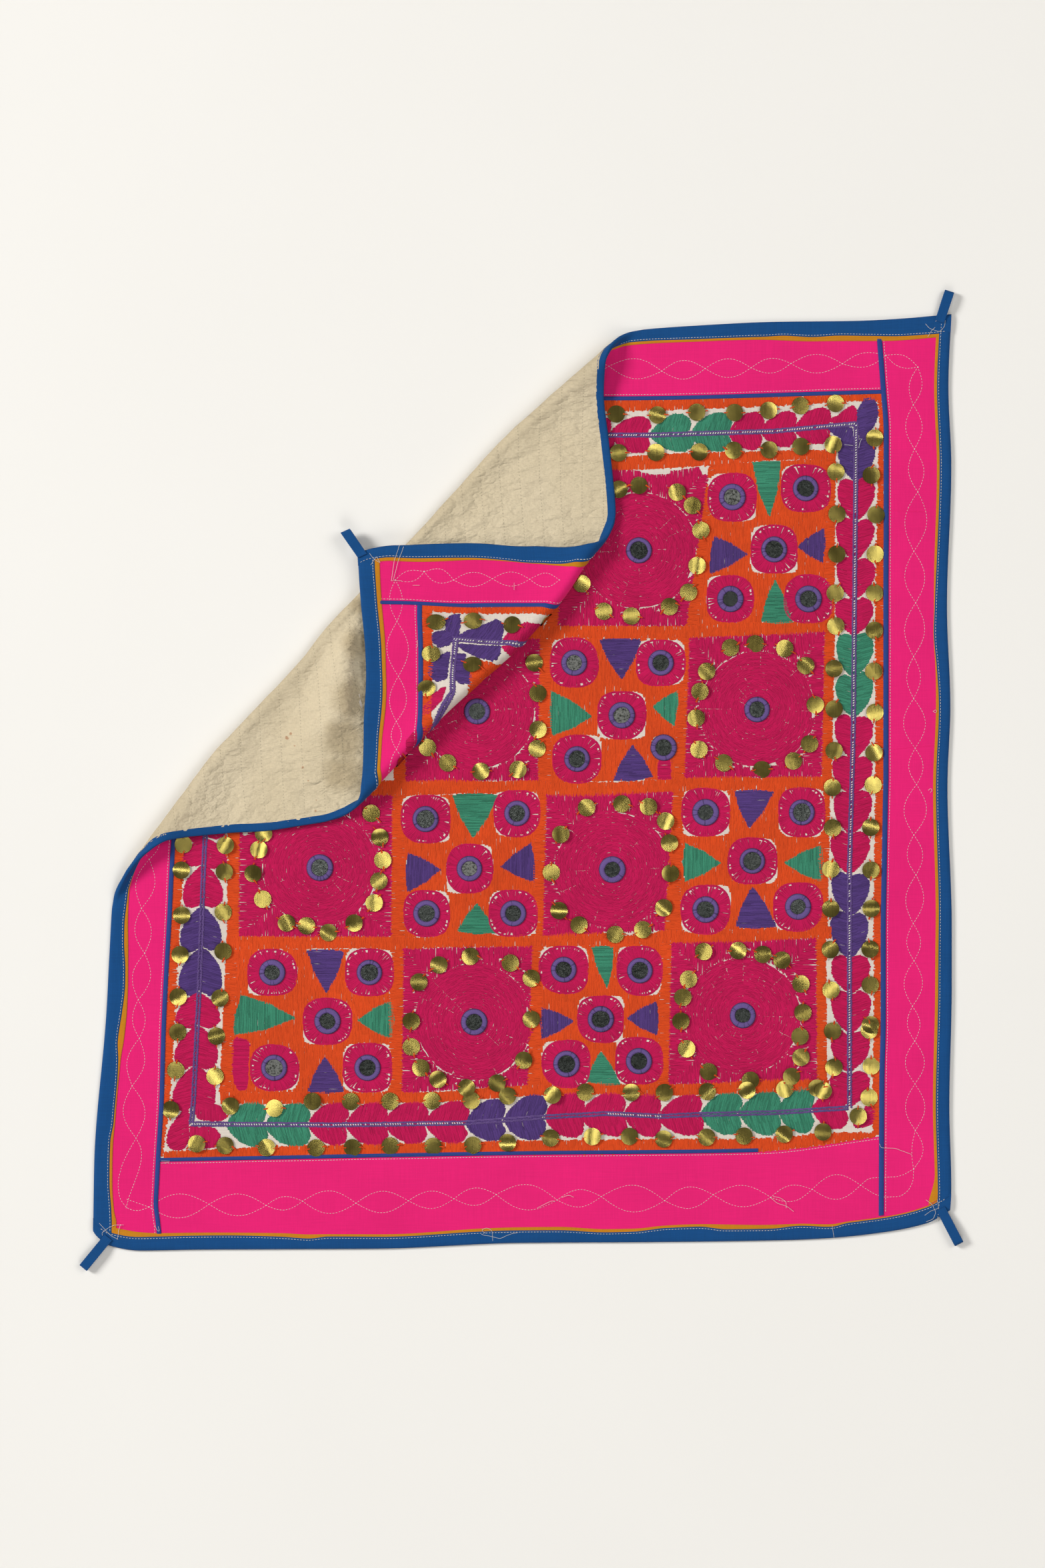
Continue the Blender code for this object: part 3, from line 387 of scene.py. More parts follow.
def smooth_rows(rows, column, at):
    """A smooth curve through one column of a table, without overshoot, held at its ends' slopes."""
    table = np.array(rows, float)
    places, values = table[:, 0], table[:, column]
    widths = np.diff(places)
    slopes = np.diff(values) / widths
    tangents = np.zeros(len(values))
    tangents[0], tangents[-1] = slopes[0], slopes[-1]
    same_way = slopes[:-1] * slopes[1:] > 0
    before = np.where(same_way, slopes[:-1], 1.0)
    after = np.where(same_way, slopes[1:], 1.0)
    weight_before = 2 * widths[1:] + widths[:-1]
    weight_after = widths[1:] + 2 * widths[:-1]
    harmonic = (weight_before + weight_after) / (weight_before / before + weight_after / after)
    tangents[1:-1] = np.where(same_way, harmonic, 0.0)
    at = np.asarray(at, float)
    k = np.clip(np.searchsorted(places, at) - 1, 0, len(widths) - 1)
    x = np.clip((at - places[k]) / widths[k], 0, 1)
    inside = (
        values[k] * (1 + 2 * x) * (1 - x) ** 2
        + values[k + 1] * x * x * (3 - 2 * x)
        + widths[k] * (tangents[k] * x * (1 - x) ** 2 - tangents[k + 1] * x * x * (1 - x))
    )
    below = np.minimum(at - places[0], 0) * tangents[0]
    above = np.maximum(at - places[-1], 0) * tangents[-1]
    return inside + below + above


def line(rows, shift=0.0):
    """A line of the cloth as a function of the place along it, moved across by shift."""
    ordered = sorted(rows)
    return lambda at: smooth_rows(ordered, 1, at) + shift


INWARD = {"top": -1, "right": -1, "bottom": 1, "left": 1}


def inset(side, distance):
    """An outline side moved in towards the middle of the cloth."""
    return line(EDGES[side], INWARD[side] * distance)


def seam(side, distance=0.0):
    """A seam round the panel moved in towards the middle of the cloth."""
    return line(SEAMS[side], INWARD[side] * distance)


ALONG_WAY = np.array(CREASE_DIRECTION) / np.linalg.norm(CREASE_DIRECTION)
OUT_WAY = np.array((ALONG_WAY[1], -ALONG_WAY[0]))


def ease(radius, overturn, climb):
    """Length of the run that brings the cloth back to level after a roll that turns too far."""
    fall = radius * (1 + math.cos(overturn)) - climb
    return fall * overturn / (1 - math.cos(overturn))


def fold_places(along):
    """Cross-section of the double fold: distances over the cloth, places across and up, and headings."""
    along = np.clip(np.asarray(along, float), FIRST_FOLD[0][0], FIRST_FOLD[-1][0])
    inner = np.clip(along, SECOND_FOLD[0][0], SECOND_FOLD[-1][0])
    first_radius = smooth_rows(FIRST_FOLD, 2, along)
    second_radius = smooth_rows(SECOND_FOLD, 2, inner)
    first_ease = ease(first_radius, FIRST_OVERTURN, FLAP_HEIGHT)
    second_ease = ease(second_radius, SECOND_OVERTURN, TIP_HEIGHT - FLAP_HEIGHT)
    start = smooth_rows(FIRST_FOLD, 1, along) - first_radius
    eased = start - first_radius * math.sin(FIRST_OVERTURN)
    eased = eased - first_ease * math.sin(FIRST_OVERTURN) / FIRST_OVERTURN
    second_start = smooth_rows(SECOND_FOLD, 1, inner) + second_radius + FACE_TOP
    back = second_start - second_radius * math.sin(SECOND_OVERTURN)
    back = back + second_ease * math.sin(SECOND_OVERTURN) / SECOND_OVERTURN
    full = np.ones_like(along)
    runs = [
        (first_radius * (math.pi + FIRST_OVERTURN), math.pi + FIRST_OVERTURN),
        (first_ease, -FIRST_OVERTURN),
        (eased - second_start, 0.0),
        (second_radius * (math.pi + SECOND_OVERTURN), -math.pi - SECOND_OVERTURN),
        (second_ease, SECOND_OVERTURN),
        (np.maximum(start - back, 1.0), 0.0),
        (TIP_DROOP_LENGTH * full, -TIP_DROOP),
        (TIP_REACH * full, 0.0),
    ]
    distance, across, height, heading = [start], [start], [0 * full], [0 * full]
    for length, turn in runs:
        middle = heading[-1] + turn / 2
        chord = length * np.sinc(turn / 2 / math.pi)
        distance.append(distance[-1] + length)
        across.append(across[-1] + chord * np.cos(middle))
        height.append(height[-1] + chord * np.sin(middle))
        heading.append(heading[-1] + turn)
    return [np.stack(values, axis=-1) for values in (distance, across, height, heading)]


def from_photo(pixels):
    """Places in the photo's plane, in millimetres, from photo pixels."""
    x, y = np.array(pixels, float)[:, :2].T
    return np.column_stack(((x - PHOTO_MIDDLE[0]) * PIXEL, (PHOTO_MIDDLE[1] - y) * PIXEL))


def flat_places(points, layer):
    """Places of the flat cloth that come to lie at places of the photo's plane, on one layer."""
    if layer == MAIN:
        return points
    across, along = crease_frame(points)
    distance, over, _, _ = fold_places(along)
    flat = distance[:, 2] + over[:, 2] - across if layer == FLAP else distance[:, 5] - over[:, 5] + across
    return from_crease_frame(flat, along)


NOMINAL = fold_places(np.array([0.0]))[0][0]
ROLL_CUTS = (14, 3, 1, 14, 3, 1, 3, 1)


def crease_frame(points):
    """Distance out across the first crease, and distance along it, of points of the flat cloth."""
    offset = points - np.array(CREASE_POINT)
    return offset @ OUT_WAY, offset @ ALONG_WAY


def from_crease_frame(across, along):
    """Points of the flat cloth from their distances across and along the first crease."""
    return np.array(CREASE_POINT) + across[:, None] * OUT_WAY + along[:, None] * ALONG_WAY


def stretch(across, distance):
    """Numbers of the points and of the stretches of the fold that they lie on, and their shares of those."""
    k = np.clip((across[:, None] >= distance).sum(axis=1) - 1, 0, len(NOMINAL) - 2)
    row = np.arange(len(across))
    return row, k, (across - distance[row, k]) / (distance[row, k + 1] - distance[row, k])


def regular(points):
    """Flat points in a frame where the rolls' edges are straight lines."""
    across, along = crease_frame(points)
    distance = fold_places(along)[0]
    _, k, share = stretch(across, distance)
    straight = NOMINAL[k] + share * (NOMINAL[k + 1] - NOMINAL[k])
    flat = across < distance[:, 0]
    straight[flat] = (across - distance[:, 0] + NOMINAL[0])[flat]
    return np.stack((straight, along), axis=-1)


def unregular(pairs):
    """Flat points back from that frame."""
    straight, along = pairs[:, 0], pairs[:, 1]
    distance = fold_places(along)[0]
    k = np.clip(np.searchsorted(NOMINAL, straight) - 1, 0, len(NOMINAL) - 2)
    row = np.arange(len(pairs))
    share = (straight - NOMINAL[k]) / (NOMINAL[k + 1] - NOMINAL[k])
    across = distance[row, k] + share * (distance[row, k + 1] - distance[row, k])
    flat = straight < NOMINAL[0]
    across[flat] = (straight - NOMINAL[0] + distance[:, 0])[flat]
    return from_crease_frame(across, along)


def ripple(u, v, waves):
    """Sum of long waves over the cloth: each has a heading in degrees, a length in mm and a phase."""
    total = 0.0
    for heading, length, phase in waves:
        way = math.radians(heading)
        total = total + np.sin((u * math.cos(way) + v * math.sin(way)) * 2 * math.pi / length + phase)
    return total / len(waves)


FACE_WAVES = [(10, 131, 0.3), (67, 97, 1.9), (118, 143, 4.0), (152, 83, 2.2), (38, 61, 5.1)]
LINING_WAVES = [(96, 47, 0.0), (84, 31, 1.3), (12, 71, 2.9), (40, 57, 0.7), (131, 39, 3.3), (64, 23, 5.0)]


def carry(points):
    """Places in space, in metres, of points of the flat cloth in millimetres."""
    cloth = settings()[0]
    u, v, w = points[:, 0], points[:, 1], points[:, 2]
    across, along = crease_frame(points[:, :2])
    distance, over, height, heading = fold_places(along)
    lifted = np.clip((across - distance[:, 0]) / FADE, 0, 1)
    face = np.clip((w - LINING_HIGH) / (FACE_TOP - LINING_HIGH), 0, 1)
    w = w + face * cloth.waves * (1 + ripple(u, v, FACE_WAVES)) / 2
    w = w - (1 - face) * lifted * cloth.puckers * (1 + ripple(u, v, LINING_WAVES)) / 2
    row, k, share = stretch(across, distance)
    turn = (heading[row, k + 1] - heading[row, k]) * share
    chord = (distance[row, k + 1] - distance[row, k]) * share * np.sinc(turn / 2 / math.pi)
    middle = heading[row, k] + turn / 2
    head = heading[row, k] + turn
    place = over[row, k] + chord * np.cos(middle) - w * np.sin(head)
    rise = height[row, k] + chord * np.sin(middle) + w * np.cos(head)
    flat = across < distance[:, 0]
    place = np.where(flat, across, place)
    rise = np.where(flat, w, rise)
    plan = from_crease_frame(place, along)
    on_flap = np.clip(np.minimum(across - distance[:, 1], distance[:, 3] + 12 - across) / FADE, 0, 1)
    rise = rise + on_flap * hump(plan[:, 0], plan[:, 1])
    return np.column_stack((plan, rise)) * MM


def hump(u, v):
    """Height of the ridge on the flap, which falls away under the tip's edge."""
    crest = smooth_rows(RIDGE, 1, np.clip(v, RIDGE[0][0], RIDGE[-1][0]))
    full = np.interp(v, [row[0] for row in RIDGE_HEIGHT], [row[1] for row in RIDGE_HEIGHT])
    share = np.clip((u - crest) / (RIDGE_FOOT - crest), 0, 1)
    fall = 1 - share * share * (3 - 2 * share) + 0.05 * np.sin(u / 1.6 + v / 30) * np.minimum(share * 4, 1)
    return full * np.where(u < crest, np.exp(-((u - crest) / 26) ** 2), fall * (share < 1))


# The hidden part of the fold: how far past the first roll's start and before the second roll's it begins and
# ends, how far the flap reaches back over the face, and how far inside its outline a place must be
HIDDEN_START = 6
HIDDEN_END = 2
FLAP_REACH = 128
HIDDEN_INSET = 22


def hidden(u, v):
    """Whether a place of the cloth can't be seen, inside the fold."""
    points = np.column_stack((np.atleast_1d(u), np.atleast_1d(v))).astype(float)
    across, along = crease_frame(points)
    distance, over, _, _ = fold_places(along)
    start = distance[:, 0] + HIDDEN_START
    folded = (across > start) & (across < distance[:, 3] - HIDDEN_END)
    under = (across < start) & (across > -FLAP_REACH)
    above_u, above_v = from_crease_frame(distance[:, 2] + over[:, 2] - across, along).T
    inside = above_u > inset("left", HIDDEN_INSET)(above_v)
    return folded | (under & inside & (above_v < inset("top", HIDDEN_INSET)(above_u)))


# Mesh helpers


def placed(name, data):
    """A new object in the scene."""
    made = bpy.data.objects.new(name, data)
    bpy.context.scene.collection.objects.link(made)
    return made


def put(name, verts, faces, material, smooth=True, sharp=None, uvs=None, shade=None):
    """A new object from vertices in metres and faces, with its material."""
    mesh = bpy.data.meshes.new(name)
    mesh.from_pydata([tuple(v) for v in verts], [], faces)
    mesh.materials.append(material)
    if uvs is not None:
        layer = mesh.uv_layers.new(name="cloth")
        index = np.zeros(len(mesh.loops), int)
        mesh.loops.foreach_get("vertex_index", index)
        layer.data.foreach_set("uv", np.asarray(uvs, np.float32)[index].ravel())
    if shade is not None:
        greys = mesh.attributes.new("shade", "FLOAT", "POINT").data
        greys.foreach_set("value", np.asarray(shade, np.float32))
        middle = np.full(2 * len(mesh.loops), 0.7, np.float32)
        mesh.attributes.new("strand", "FLOAT2", "CORNER").data.foreach_set("vector", middle)
    if smooth:
        mesh.shade_smooth()
        if sharp:
            mesh.set_sharp_from_angle(angle=math.radians(sharp))
    mesh.update()
    return placed(name, mesh)


def put_closed(name, verts, faces, material, sharp, uvs):
    """A new object from a closed shell, with its faces turned outwards and its edges sharp past an angle."""
    made = put(name, verts, faces, material, uvs=uvs)
    shell = bmesh.new()
    shell.from_mesh(made.data)
    bmesh.ops.recalc_face_normals(shell, faces=shell.faces[:])
    shell.to_mesh(made.data)
    shell.free()
    made.data.set_sharp_from_angle(angle=math.radians(sharp))
    return made


def enrol(made, slot, *nodes):
    """Let a finished piece ride on the part and stand for its CAD nodes."""
    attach(made, BODY)
    if nodes:
        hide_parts(*nodes)
    return made


def at_level(path, level):
    """Points of the flat cloth at one level through its layers."""
    return np.column_stack((path, np.full(len(path), level)))


def area_grid(left, right, bottom, top, columns, rows):
    """Points of a flat area between four lines, as rows of a grid."""
    share_u = np.linspace(0, 1, columns + 1)[None, :]
    share_v = np.linspace(0, 1, rows + 1)[:, None]
    v = np.zeros((rows + 1, columns + 1))
    u = np.zeros_like(v)
    for _ in range(12):
        u = left(v) + (right(v) - left(v)) * share_u
        v = bottom(u) + (top(u) - bottom(u)) * share_v
    return np.stack((u, v), axis=-1)


def cloth_piece(name, lines, levels, material, cell=None):
    """A sheet of cloth between four lines and two levels, cut finely where it rolls over."""
    left, right, bottom, top = lines
    cell = cell or settings()[0].cell
    coarse = area_grid(left, right, bottom, top, 1, 1)
    columns, rows = [max(3, round(np.ptp(coarse[..., k]) / cell)) for k in (0, 1)]
    grid = area_grid(left, right, bottom, top, columns, rows)
    pairs = regular(grid.reshape(-1, 2))
    cells = bmesh.new()
    verts = [cells.verts.new((a, b, 0.0)) for a, b in pairs]
    stride = columns + 1
    for j in range(rows):
        for i in range(columns):
            k = j * stride + i
            cells.faces.new((verts[k], verts[k + 1], verts[k + 1 + stride], verts[k + stride]))
    low, high = pairs[:, 0].min(), pairs[:, 0].max()
    for k, count in enumerate(ROLL_CUTS):
        for station in NOMINAL[k] + (NOMINAL[k + 1] - NOMINAL[k]) * np.arange(count) / count:
            if low < station < high:
                near = [f for f in cells.faces
                        if min(x.co.x for x in f.verts) < station < max(x.co.x for x in f.verts)]
                corners = list({x for f in near for x in f.verts})
                parts = corners + list({e for f in near for e in f.edges}) + near
                plane = {"plane_co": (station, 0, 0), "plane_no": (1, 0, 0)}
                bmesh.ops.bisect_plane(cells, geom=parts, dist=1e-4, **plane)
    cells.verts.index_update()
    flat = unregular(np.array([x.co[:2] for x in cells.verts], float))
    count = len(flat)
    layers = [carry(at_level(flat, level)) for level in levels]
    faces = []
    for face in cells.faces:
        corners = [x.index for x in face.verts]
        if face.normal.z < 0:
            corners.reverse()
        faces.append([c + count for c in corners])
        faces.append(corners[::-1])
    for edge in cells.edges:
        if len(edge.link_faces) == 1:
            loop = edge.link_loops[0]
            a, b = loop.vert.index, loop.link_loop_next.vert.index
            if edge.link_faces[0].normal.z < 0:
                a, b = b, a
            faces.append([a, b, b + count, a + count])
    cells.free()
    return put(name, np.concatenate(layers), faces, material, sharp=50, uvs=np.tile(flat * MM, (2, 1)))


# Length of the cells along a tape
TAPE_STEP = 2.4


def swept_piece(name, side, ends, profile, material):
    """A tape or piping along one side: each row of its profile is a distance in from the edge, maybe its
    shares of the two widths along that side, and a height.
    """
    upright = side in ("left", "right")
    edge = line(EDGES[side])
    reach = INWARD[side]
    rows = np.array([p if len(p) == 4 else (p[0], 0, 0, p[1]) for p in profile])
    heights = rows[:, 3]

    def inwards(along):
        return rows[:, 0] + rows[:, 1] * lip_at(side, along) + rows[:, 2] * lip_at(side, along, 2)

    span = abs(float(ends[1](edge(0.0))) - float(ends[0](edge(0.0))))
    count = max(4, round(span / TAPE_STEP))
    share = np.linspace(0, 1, count + 1)[:, None]
    along = np.zeros((count + 1, len(profile)))
    for _ in range(12):
        across = edge(along) + reach * inwards(along)
        along = ends[0](across) + (ends[1](across) - ends[0](across)) * share
    across = edge(along) + reach * inwards(along)
    u, v = (across, along) if upright else (along, across)
    w = np.broadcast_to(heights, u.shape)
    places = carry(np.column_stack((u.ravel(), v.ravel(), w.ravel())))
    size = len(profile)
    faces = []
    for j in range(count):
        for i in range(size):
            a, b = j * size + i, j * size + (i + 1) % size
            faces.append([a, b, b + size, a + size])
    faces.append(list(range(size))[::-1])
    faces.append([count * size + i for i in range(size)])
    girth = np.concatenate(([0], np.cumsum(np.hypot(np.diff(inwards(along)[0]), np.diff(heights)))))
    uvs = np.column_stack((along.ravel() * MM, np.tile(girth * MM, count + 1)))
    return put_closed(name, places, faces, material, 60, uvs)


# Materials


def add(tree, kind, inputs=(), **values):
    """A new node with its settings, and its inputs as sockets to link or plain values."""
    made = tree.nodes.new(kind)
    for key, value in values.items():
        setattr(made, key, value)
    for key, value in dict(inputs).items():
        if isinstance(value, bpy.types.NodeSocket):
            tree.links.new(value, made.inputs[key])
        else:
            made.inputs[key].default_value = value
    return made


def maths(tree, operation, *values):
    """The result of a maths node on sockets or numbers."""
    return add(tree, "ShaderNodeMath", dict(enumerate(values)), operation=operation).outputs[0]


def noise(tree, vector, scale, detail=3.0, roughness=0.5):
    """Grey noise over a vector."""
    inputs = {"Vector": vector, "Scale": scale, "Detail": detail, "Roughness": roughness}
    return add(tree, "ShaderNodeTexNoise", inputs).outputs["Fac"]


def stretched(tree, vector, scale, turn=0.0):
    """A vector turned and scaled."""
    inputs = {"Vector": vector, "Scale": scale, "Rotation": (0, 0, turn)}
    return add(tree, "ShaderNodeMapping", inputs).outputs[0]


def ramp(tree, fac, *stops):
    """The colour of a ramp: each stop is a place with a grey or a colour."""
    made = add(tree, "ShaderNodeValToRGB", {"Fac": fac})
    elements = made.color_ramp.elements
    while len(elements) < len(stops):
        elements.new(0.5)
    for element, (place, value) in zip(elements, stops):
        element.position = place
        element.color = (*value, 1) if isinstance(value, tuple) else (value, value, value, 1)
    return made.outputs["Color"]


def mixed(tree, fac, a, b, mode="MULTIPLY"):
    """Two colours, each a socket or a value, put together."""
    made = add(tree, "ShaderNodeMix", data_type="RGBA", blend_type=mode)
    for key, value in ((0, fac), (6, a), (7, b)):
        if isinstance(value, bpy.types.NodeSocket):
            tree.links.new(value, made.inputs[key])
        else:
            made.inputs[key].default_value = (*value, 1) if isinstance(value, tuple) else value
    return made.outputs[2]


def tone(value, amount):
    """A colour made darker or lighter."""
    return tuple(min(1.0, c * amount) for c in value)


def new_material(name, colour_of, roughness, metallic=0.0, sheen=0.0, specular=0.5, relief=(0.3, 0.0003)):
    """A new material: colour_of builds its nodes and gives a colour, a height and maybe a roughness."""
    material = bpy.data.materials.new(name)
    material.use_nodes = True
    tree = material.node_tree
    shader = tree.nodes["Principled BSDF"]
    plain = {"Roughness": roughness, "Metallic": metallic, "Specular IOR Level": specular,
             "Sheen Weight": sheen}
    for key, value in plain.items():
        shader.inputs[key].default_value = value
    base, height, rough = colour_of(tree)
    tree.links.new(base, shader.inputs["Base Color"])
    if rough is not None:
        tree.links.new(rough, shader.inputs["Roughness"])
    inputs = {"Height": height, "Strength": relief[0], "Distance": relief[1]}
    tree.links.new(add(tree, "ShaderNodeBump", inputs).outputs[0], shader.inputs["Normal"])
    return material


def weave(tree, place, fine, coarse):
    """Grey of woven threads that run both ways."""
    warp = noise(tree, stretched(tree, place, (fine, coarse, 1)), 0.5, 2)
    weft = noise(tree, stretched(tree, place, (coarse, fine, 1)), 0.5, 2)
    return maths(tree, "MULTIPLY", maths(tree, "ADD", warp, weft), 0.5)


def cloth_material(name, value, slub=0.08):
    """Woven cotton: fine threads both ways, slubs, and uneven dye, in the cloth's own plane."""

    def colour_of(tree):
        place = add(tree, "ShaderNodeUVMap", uv_map="cloth").outputs[0]
        threads = weave(tree, place, 2200, 60)
        fine = ramp(tree, threads, (0.36, tone(value, 1 - slub)), (0.64, tone(value, 1 + slub)))
        dye = ramp(tree, noise(tree, place, 9, 5, 0.6), (0.3, 0.9), (0.7, 1.0))
        return mixed(tree, 1.0, fine, dye), threads, None

    return new_material(name, colour_of, 0.85, sheen=0.05, specular=0.15, relief=(0.25, 0.0006))


def linen_material(name, value):
    """Plain linen with tiny dark specks, rows of quilting dots and stains on the flap, and painted shade on
    the ridge's slope and along the first fold's roll.
    """

    def colour_of(tree):
        place = add(tree, "ShaderNodeUVMap", uv_map="cloth").outputs[0]
        threads = weave(tree, place, 1700, 500)
        base = ramp(tree, threads, (0.38, tone(value, 0.94)), (0.62, tone(value, 1.05)))
        wash = ramp(tree, noise(tree, place, 7, 3), (0.35, (0.94, 0.93, 0.90)), (0.65, 1.0))
        specks = ramp(tree, noise(tree, place, 1000, 2), (0.70, 1.0), (0.76, (0.62, 0.52, 0.4)))
        base = mixed(tree, 1.0, mixed(tree, 1.0, base, wash), specks)
        parts = add(tree, "ShaderNodeSeparateXYZ", {0: place}).outputs
        row = maths(tree, "LESS_THAN", maths(tree, "PINGPONG", parts["Y"], QUILT_PITCH / 2), 0.0004)
        dot = maths(tree, "LESS_THAN", maths(tree, "PINGPONG", parts["X"], 0.0017), 0.0006)
        dots = maths(tree, "MULTIPLY", row, dot)
        base = mixed(tree, dots, base, tone(value, 0.72), "MIX")

        def reach(spot):
            """Distance from a spot of the cloth."""
            ends = {0: place, 1: (*spot, 0)}
            return add(tree, "ShaderNodeVectorMath", ends, operation="DISTANCE").outputs["Value"]

        for spot, size in zip(flat_places(from_photo(STAINS), FLAP) * MM, STAIN_SIZES):
            uneven = maths(tree, "MULTIPLY_ADD", noise(tree, place, 300, 3), 0.004, reach(spot))
            share = maths(tree, "DIVIDE", uneven, size * MM)
            base = mixed(tree, 1.0, base, ramp(tree, share, (0.75, (0.72, 0.52, 0.45)), (1.0, 1.0)))
        # Painted shade: the linen is darker near the listed spots along the slope of the ridge beside the
        # tip's edge.
        near = 2.0
        for spot, size in zip(flat_places(from_photo(SLOPE_SHADE), FLAP) * MM, SLOPE_SHADE_SIZES):
            near = maths(tree, "MINIMUM", near, maths(tree, "DIVIDE", reach(spot), size * MM))
        uneven = maths(tree, "MULTIPLY_ADD", noise(tree, place, 70, 3), 0.5, near)
        base = mixed(tree, 1.0, base, ramp(tree, uneven, (0.6, (0.76, 0.73, 0.68)), (1.15, 1.0)))
        # Painted shade along the roll of the first fold: the linen grows darker towards the crease line.
        out = add(tree, "ShaderNodeVectorMath", {0: place, 1: (*OUT_WAY, 0)}, operation="DOT_PRODUCT")
        past = maths(tree, "SUBTRACT", out.outputs["Value"], float(np.dot(CREASE_POINT, OUT_WAY)) * MM)
        roll_shade = ramp(tree, maths(tree, "MULTIPLY", past, 20.0), (0.24, (0.80, 0.79, 0.77)), (0.68, 1.0))
        base = mixed(tree, 1.0, base, roll_shade)
        along = noise(tree, stretched(tree, place, (64, 34, 1), 0.75), 1.0, 4)
        creased = maths(tree, "ABSOLUTE", maths(tree, "SUBTRACT", along, 0.5))
        creased = maths(tree, "MULTIPLY", creased, ramp(tree, noise(tree, place, 8), (0.4, 0.65), (0.6, 1.0)))
        fine = maths(tree, "MULTIPLY", maths(tree, "SUBTRACT", threads, dots), 0.4)
        height = maths(tree, "MULTIPLY_ADD", creased, 22.0, fine)
        return base, height, None

    return new_material(name, colour_of, 0.92, sheen=0.05, specular=0.15, relief=(0.8, 0.0006))


def floss_material(name, value, dark=0.68, light=1.18, crease=0.62):
    """Soft cotton floss: each strand has its own tone, and painted shade darkens it at its edges and between
    its plies.
    """

    def colour_of(tree):
        own = add(tree, "ShaderNodeAttribute", attribute_name="shade").outputs["Fac"]
        place = add(tree, "ShaderNodeTexCoord").outputs["Object"]
        fibre = noise(tree, place, 900, 2)
        total = maths(tree, "MULTIPLY_ADD", fibre, 0.45, own)
        base = ramp(tree, total, (0.15, tone(value, dark)), (1.0, tone(value, light)))
        worn = ramp(tree, noise(tree, place, 14), (0.3, 0.88), (0.7, 1.0))
        base = mixed(tree, 1.0, base, worn)
        # Painted shade: each strand is darker along its middle and towards its edges, where it meets its
        # neighbours; crease sets how dark the edges get.
        if crease < 1:
            strand = add(tree, "ShaderNodeAttribute", attribute_name="strand").outputs["Vector"]
            across = add(tree, "ShaderNodeSeparateXYZ", {0: strand}).outputs["Y"]
            edge = maths(tree, "ABSOLUTE", maths(tree, "MULTIPLY_ADD", across, 2.0, -1.0))
            painted_edge_shade = ramp(tree, edge, (0.0, 0.86), (0.12, 1.0), (0.4, 0.98), (0.7, crease))
            base = mixed(tree, 1.0, base, painted_edge_shade)
        return base, fibre, None

    return new_material(name, colour_of, 0.7, sheen=0.03, specular=0.12, relief=(0.4, 0.0003))


def metal_material(name, value):
    """Thin bright metal with fine scratches that cross, and a few dull spots."""

    def colour_of(tree):
        place = add(tree, "ShaderNodeTexCoord").outputs["Object"]
        scratches = [noise(tree, stretched(tree, place, (1800, 90, 90), turn), 0.5) for turn in (0.5, 1.9)]
        cross = maths(tree, "MULTIPLY", *scratches)
        dull = noise(tree, place, 55, 2)
        base = ramp(tree, dull, (0.3, tone(value, 0.75)), (0.7, tone(value, 1.05)))
        base = mixed(tree, 1.0, base, ramp(tree, cross, (0.15, 0.82), (0.38, 1.08)))
        return base, cross, maths(tree, "MULTIPLY_ADD", dull, 0.2, 0.12)

    return new_material(name, colour_of, 0.2, metallic=1.0, relief=(0.01, 0.0001))


def mirror_material(name, dark, light, roughness, stops):
    """Old silvered glass, clouded and spotted."""

    def colour_of(tree):
        place = add(tree, "ShaderNodeTexCoord").outputs["Object"]
        spots = noise(tree, place, 420, 5, 0.7)
        return ramp(tree, spots, (stops[0], dark), (stops[1], light)), spots, None

    return new_material(name, colour_of, roughness, metallic=0.75, relief=(0.2, 0.0002))


def floor_material():
    """A matt pale floor."""

    def colour_of(tree):
        place = add(tree, "ShaderNodeTexCoord").outputs["Object"]
        grain = noise(tree, place, 3, 4)
        return ramp(tree, grain, (0.3, (0.875, 0.85, 0.80)), (0.7, (0.885, 0.86, 0.81))), grain, None

    return new_material("pale_floor", colour_of, 0.9)


@cache
def finish(name):
    """The named material, made once."""
    colours = settings()[3]
    makers = {
        "pink_cotton": (cloth_material, colours.pink, 0.05),
        "ground_cotton": (cloth_material, colours.ground),
        "lining_linen": (linen_material, colours.lining),
        "blue_tape": (cloth_material, colours.blue),
        "ochre_tape": (cloth_material, colours.ochre),
        "violet_tape": (cloth_material, colours.violet),
        "magenta_floss": (floss_material, colours.magenta),
        "orange_floss": (floss_material, colours.orange, 0.8, 1.12, 0.72),
        "purple_floss": (floss_material, colours.purple, 0.6, 1.5),
        "stem_floss": (floss_material, (0.125, 0.072, 0.225), 0.7, 1.3),
        "green_floss": (floss_material, colours.green, 0.55, 1.6),
        "white_thread": (floss_material, colours.thread, 0.85, 1.1, 1.0),
        "ring_floss": (floss_material, (0.088, 0.055, 0.165), 0.3, 1.7, 1.0),
        "sequin_metal": (metal_material, colours.sequin),
        "mirror_glass": (mirror_material, (0.015, 0.018, 0.014), (0.09, 0.10, 0.09), 0.2, (0.36, 0.66)),
        "mirror_cloudy": (mirror_material, (0.02, 0.02, 0.016), (0.20, 0.205, 0.185), 0.4, (0.40, 0.54)),
    }
    maker, *values = makers[name]
    return maker(name, *values)


# Geometry Nodes trees


def new_tree(name, inputs):
    """A Geometry Nodes tree with its named inputs, as a dictionary of sockets, and its output node."""
    tree = bpy.data.node_groups.new(name, "GeometryNodeTree")
    tree.interface.new_socket("Geometry", in_out="OUTPUT", socket_type="NodeSocketGeometry")
    tree.interface.new_socket("Geometry", in_out="INPUT", socket_type="NodeSocketGeometry")
    for label, default in inputs.items():
        kind = "NodeSocketInt" if isinstance(default, int) else "NodeSocketFloat"
        tree.interface.new_socket(label, in_out="INPUT", socket_type=kind).default_value = default
    tree.interface.new_socket("Material", in_out="INPUT", socket_type="NodeSocketMaterial")
    return tree, tree.nodes.new("NodeGroupInput").outputs


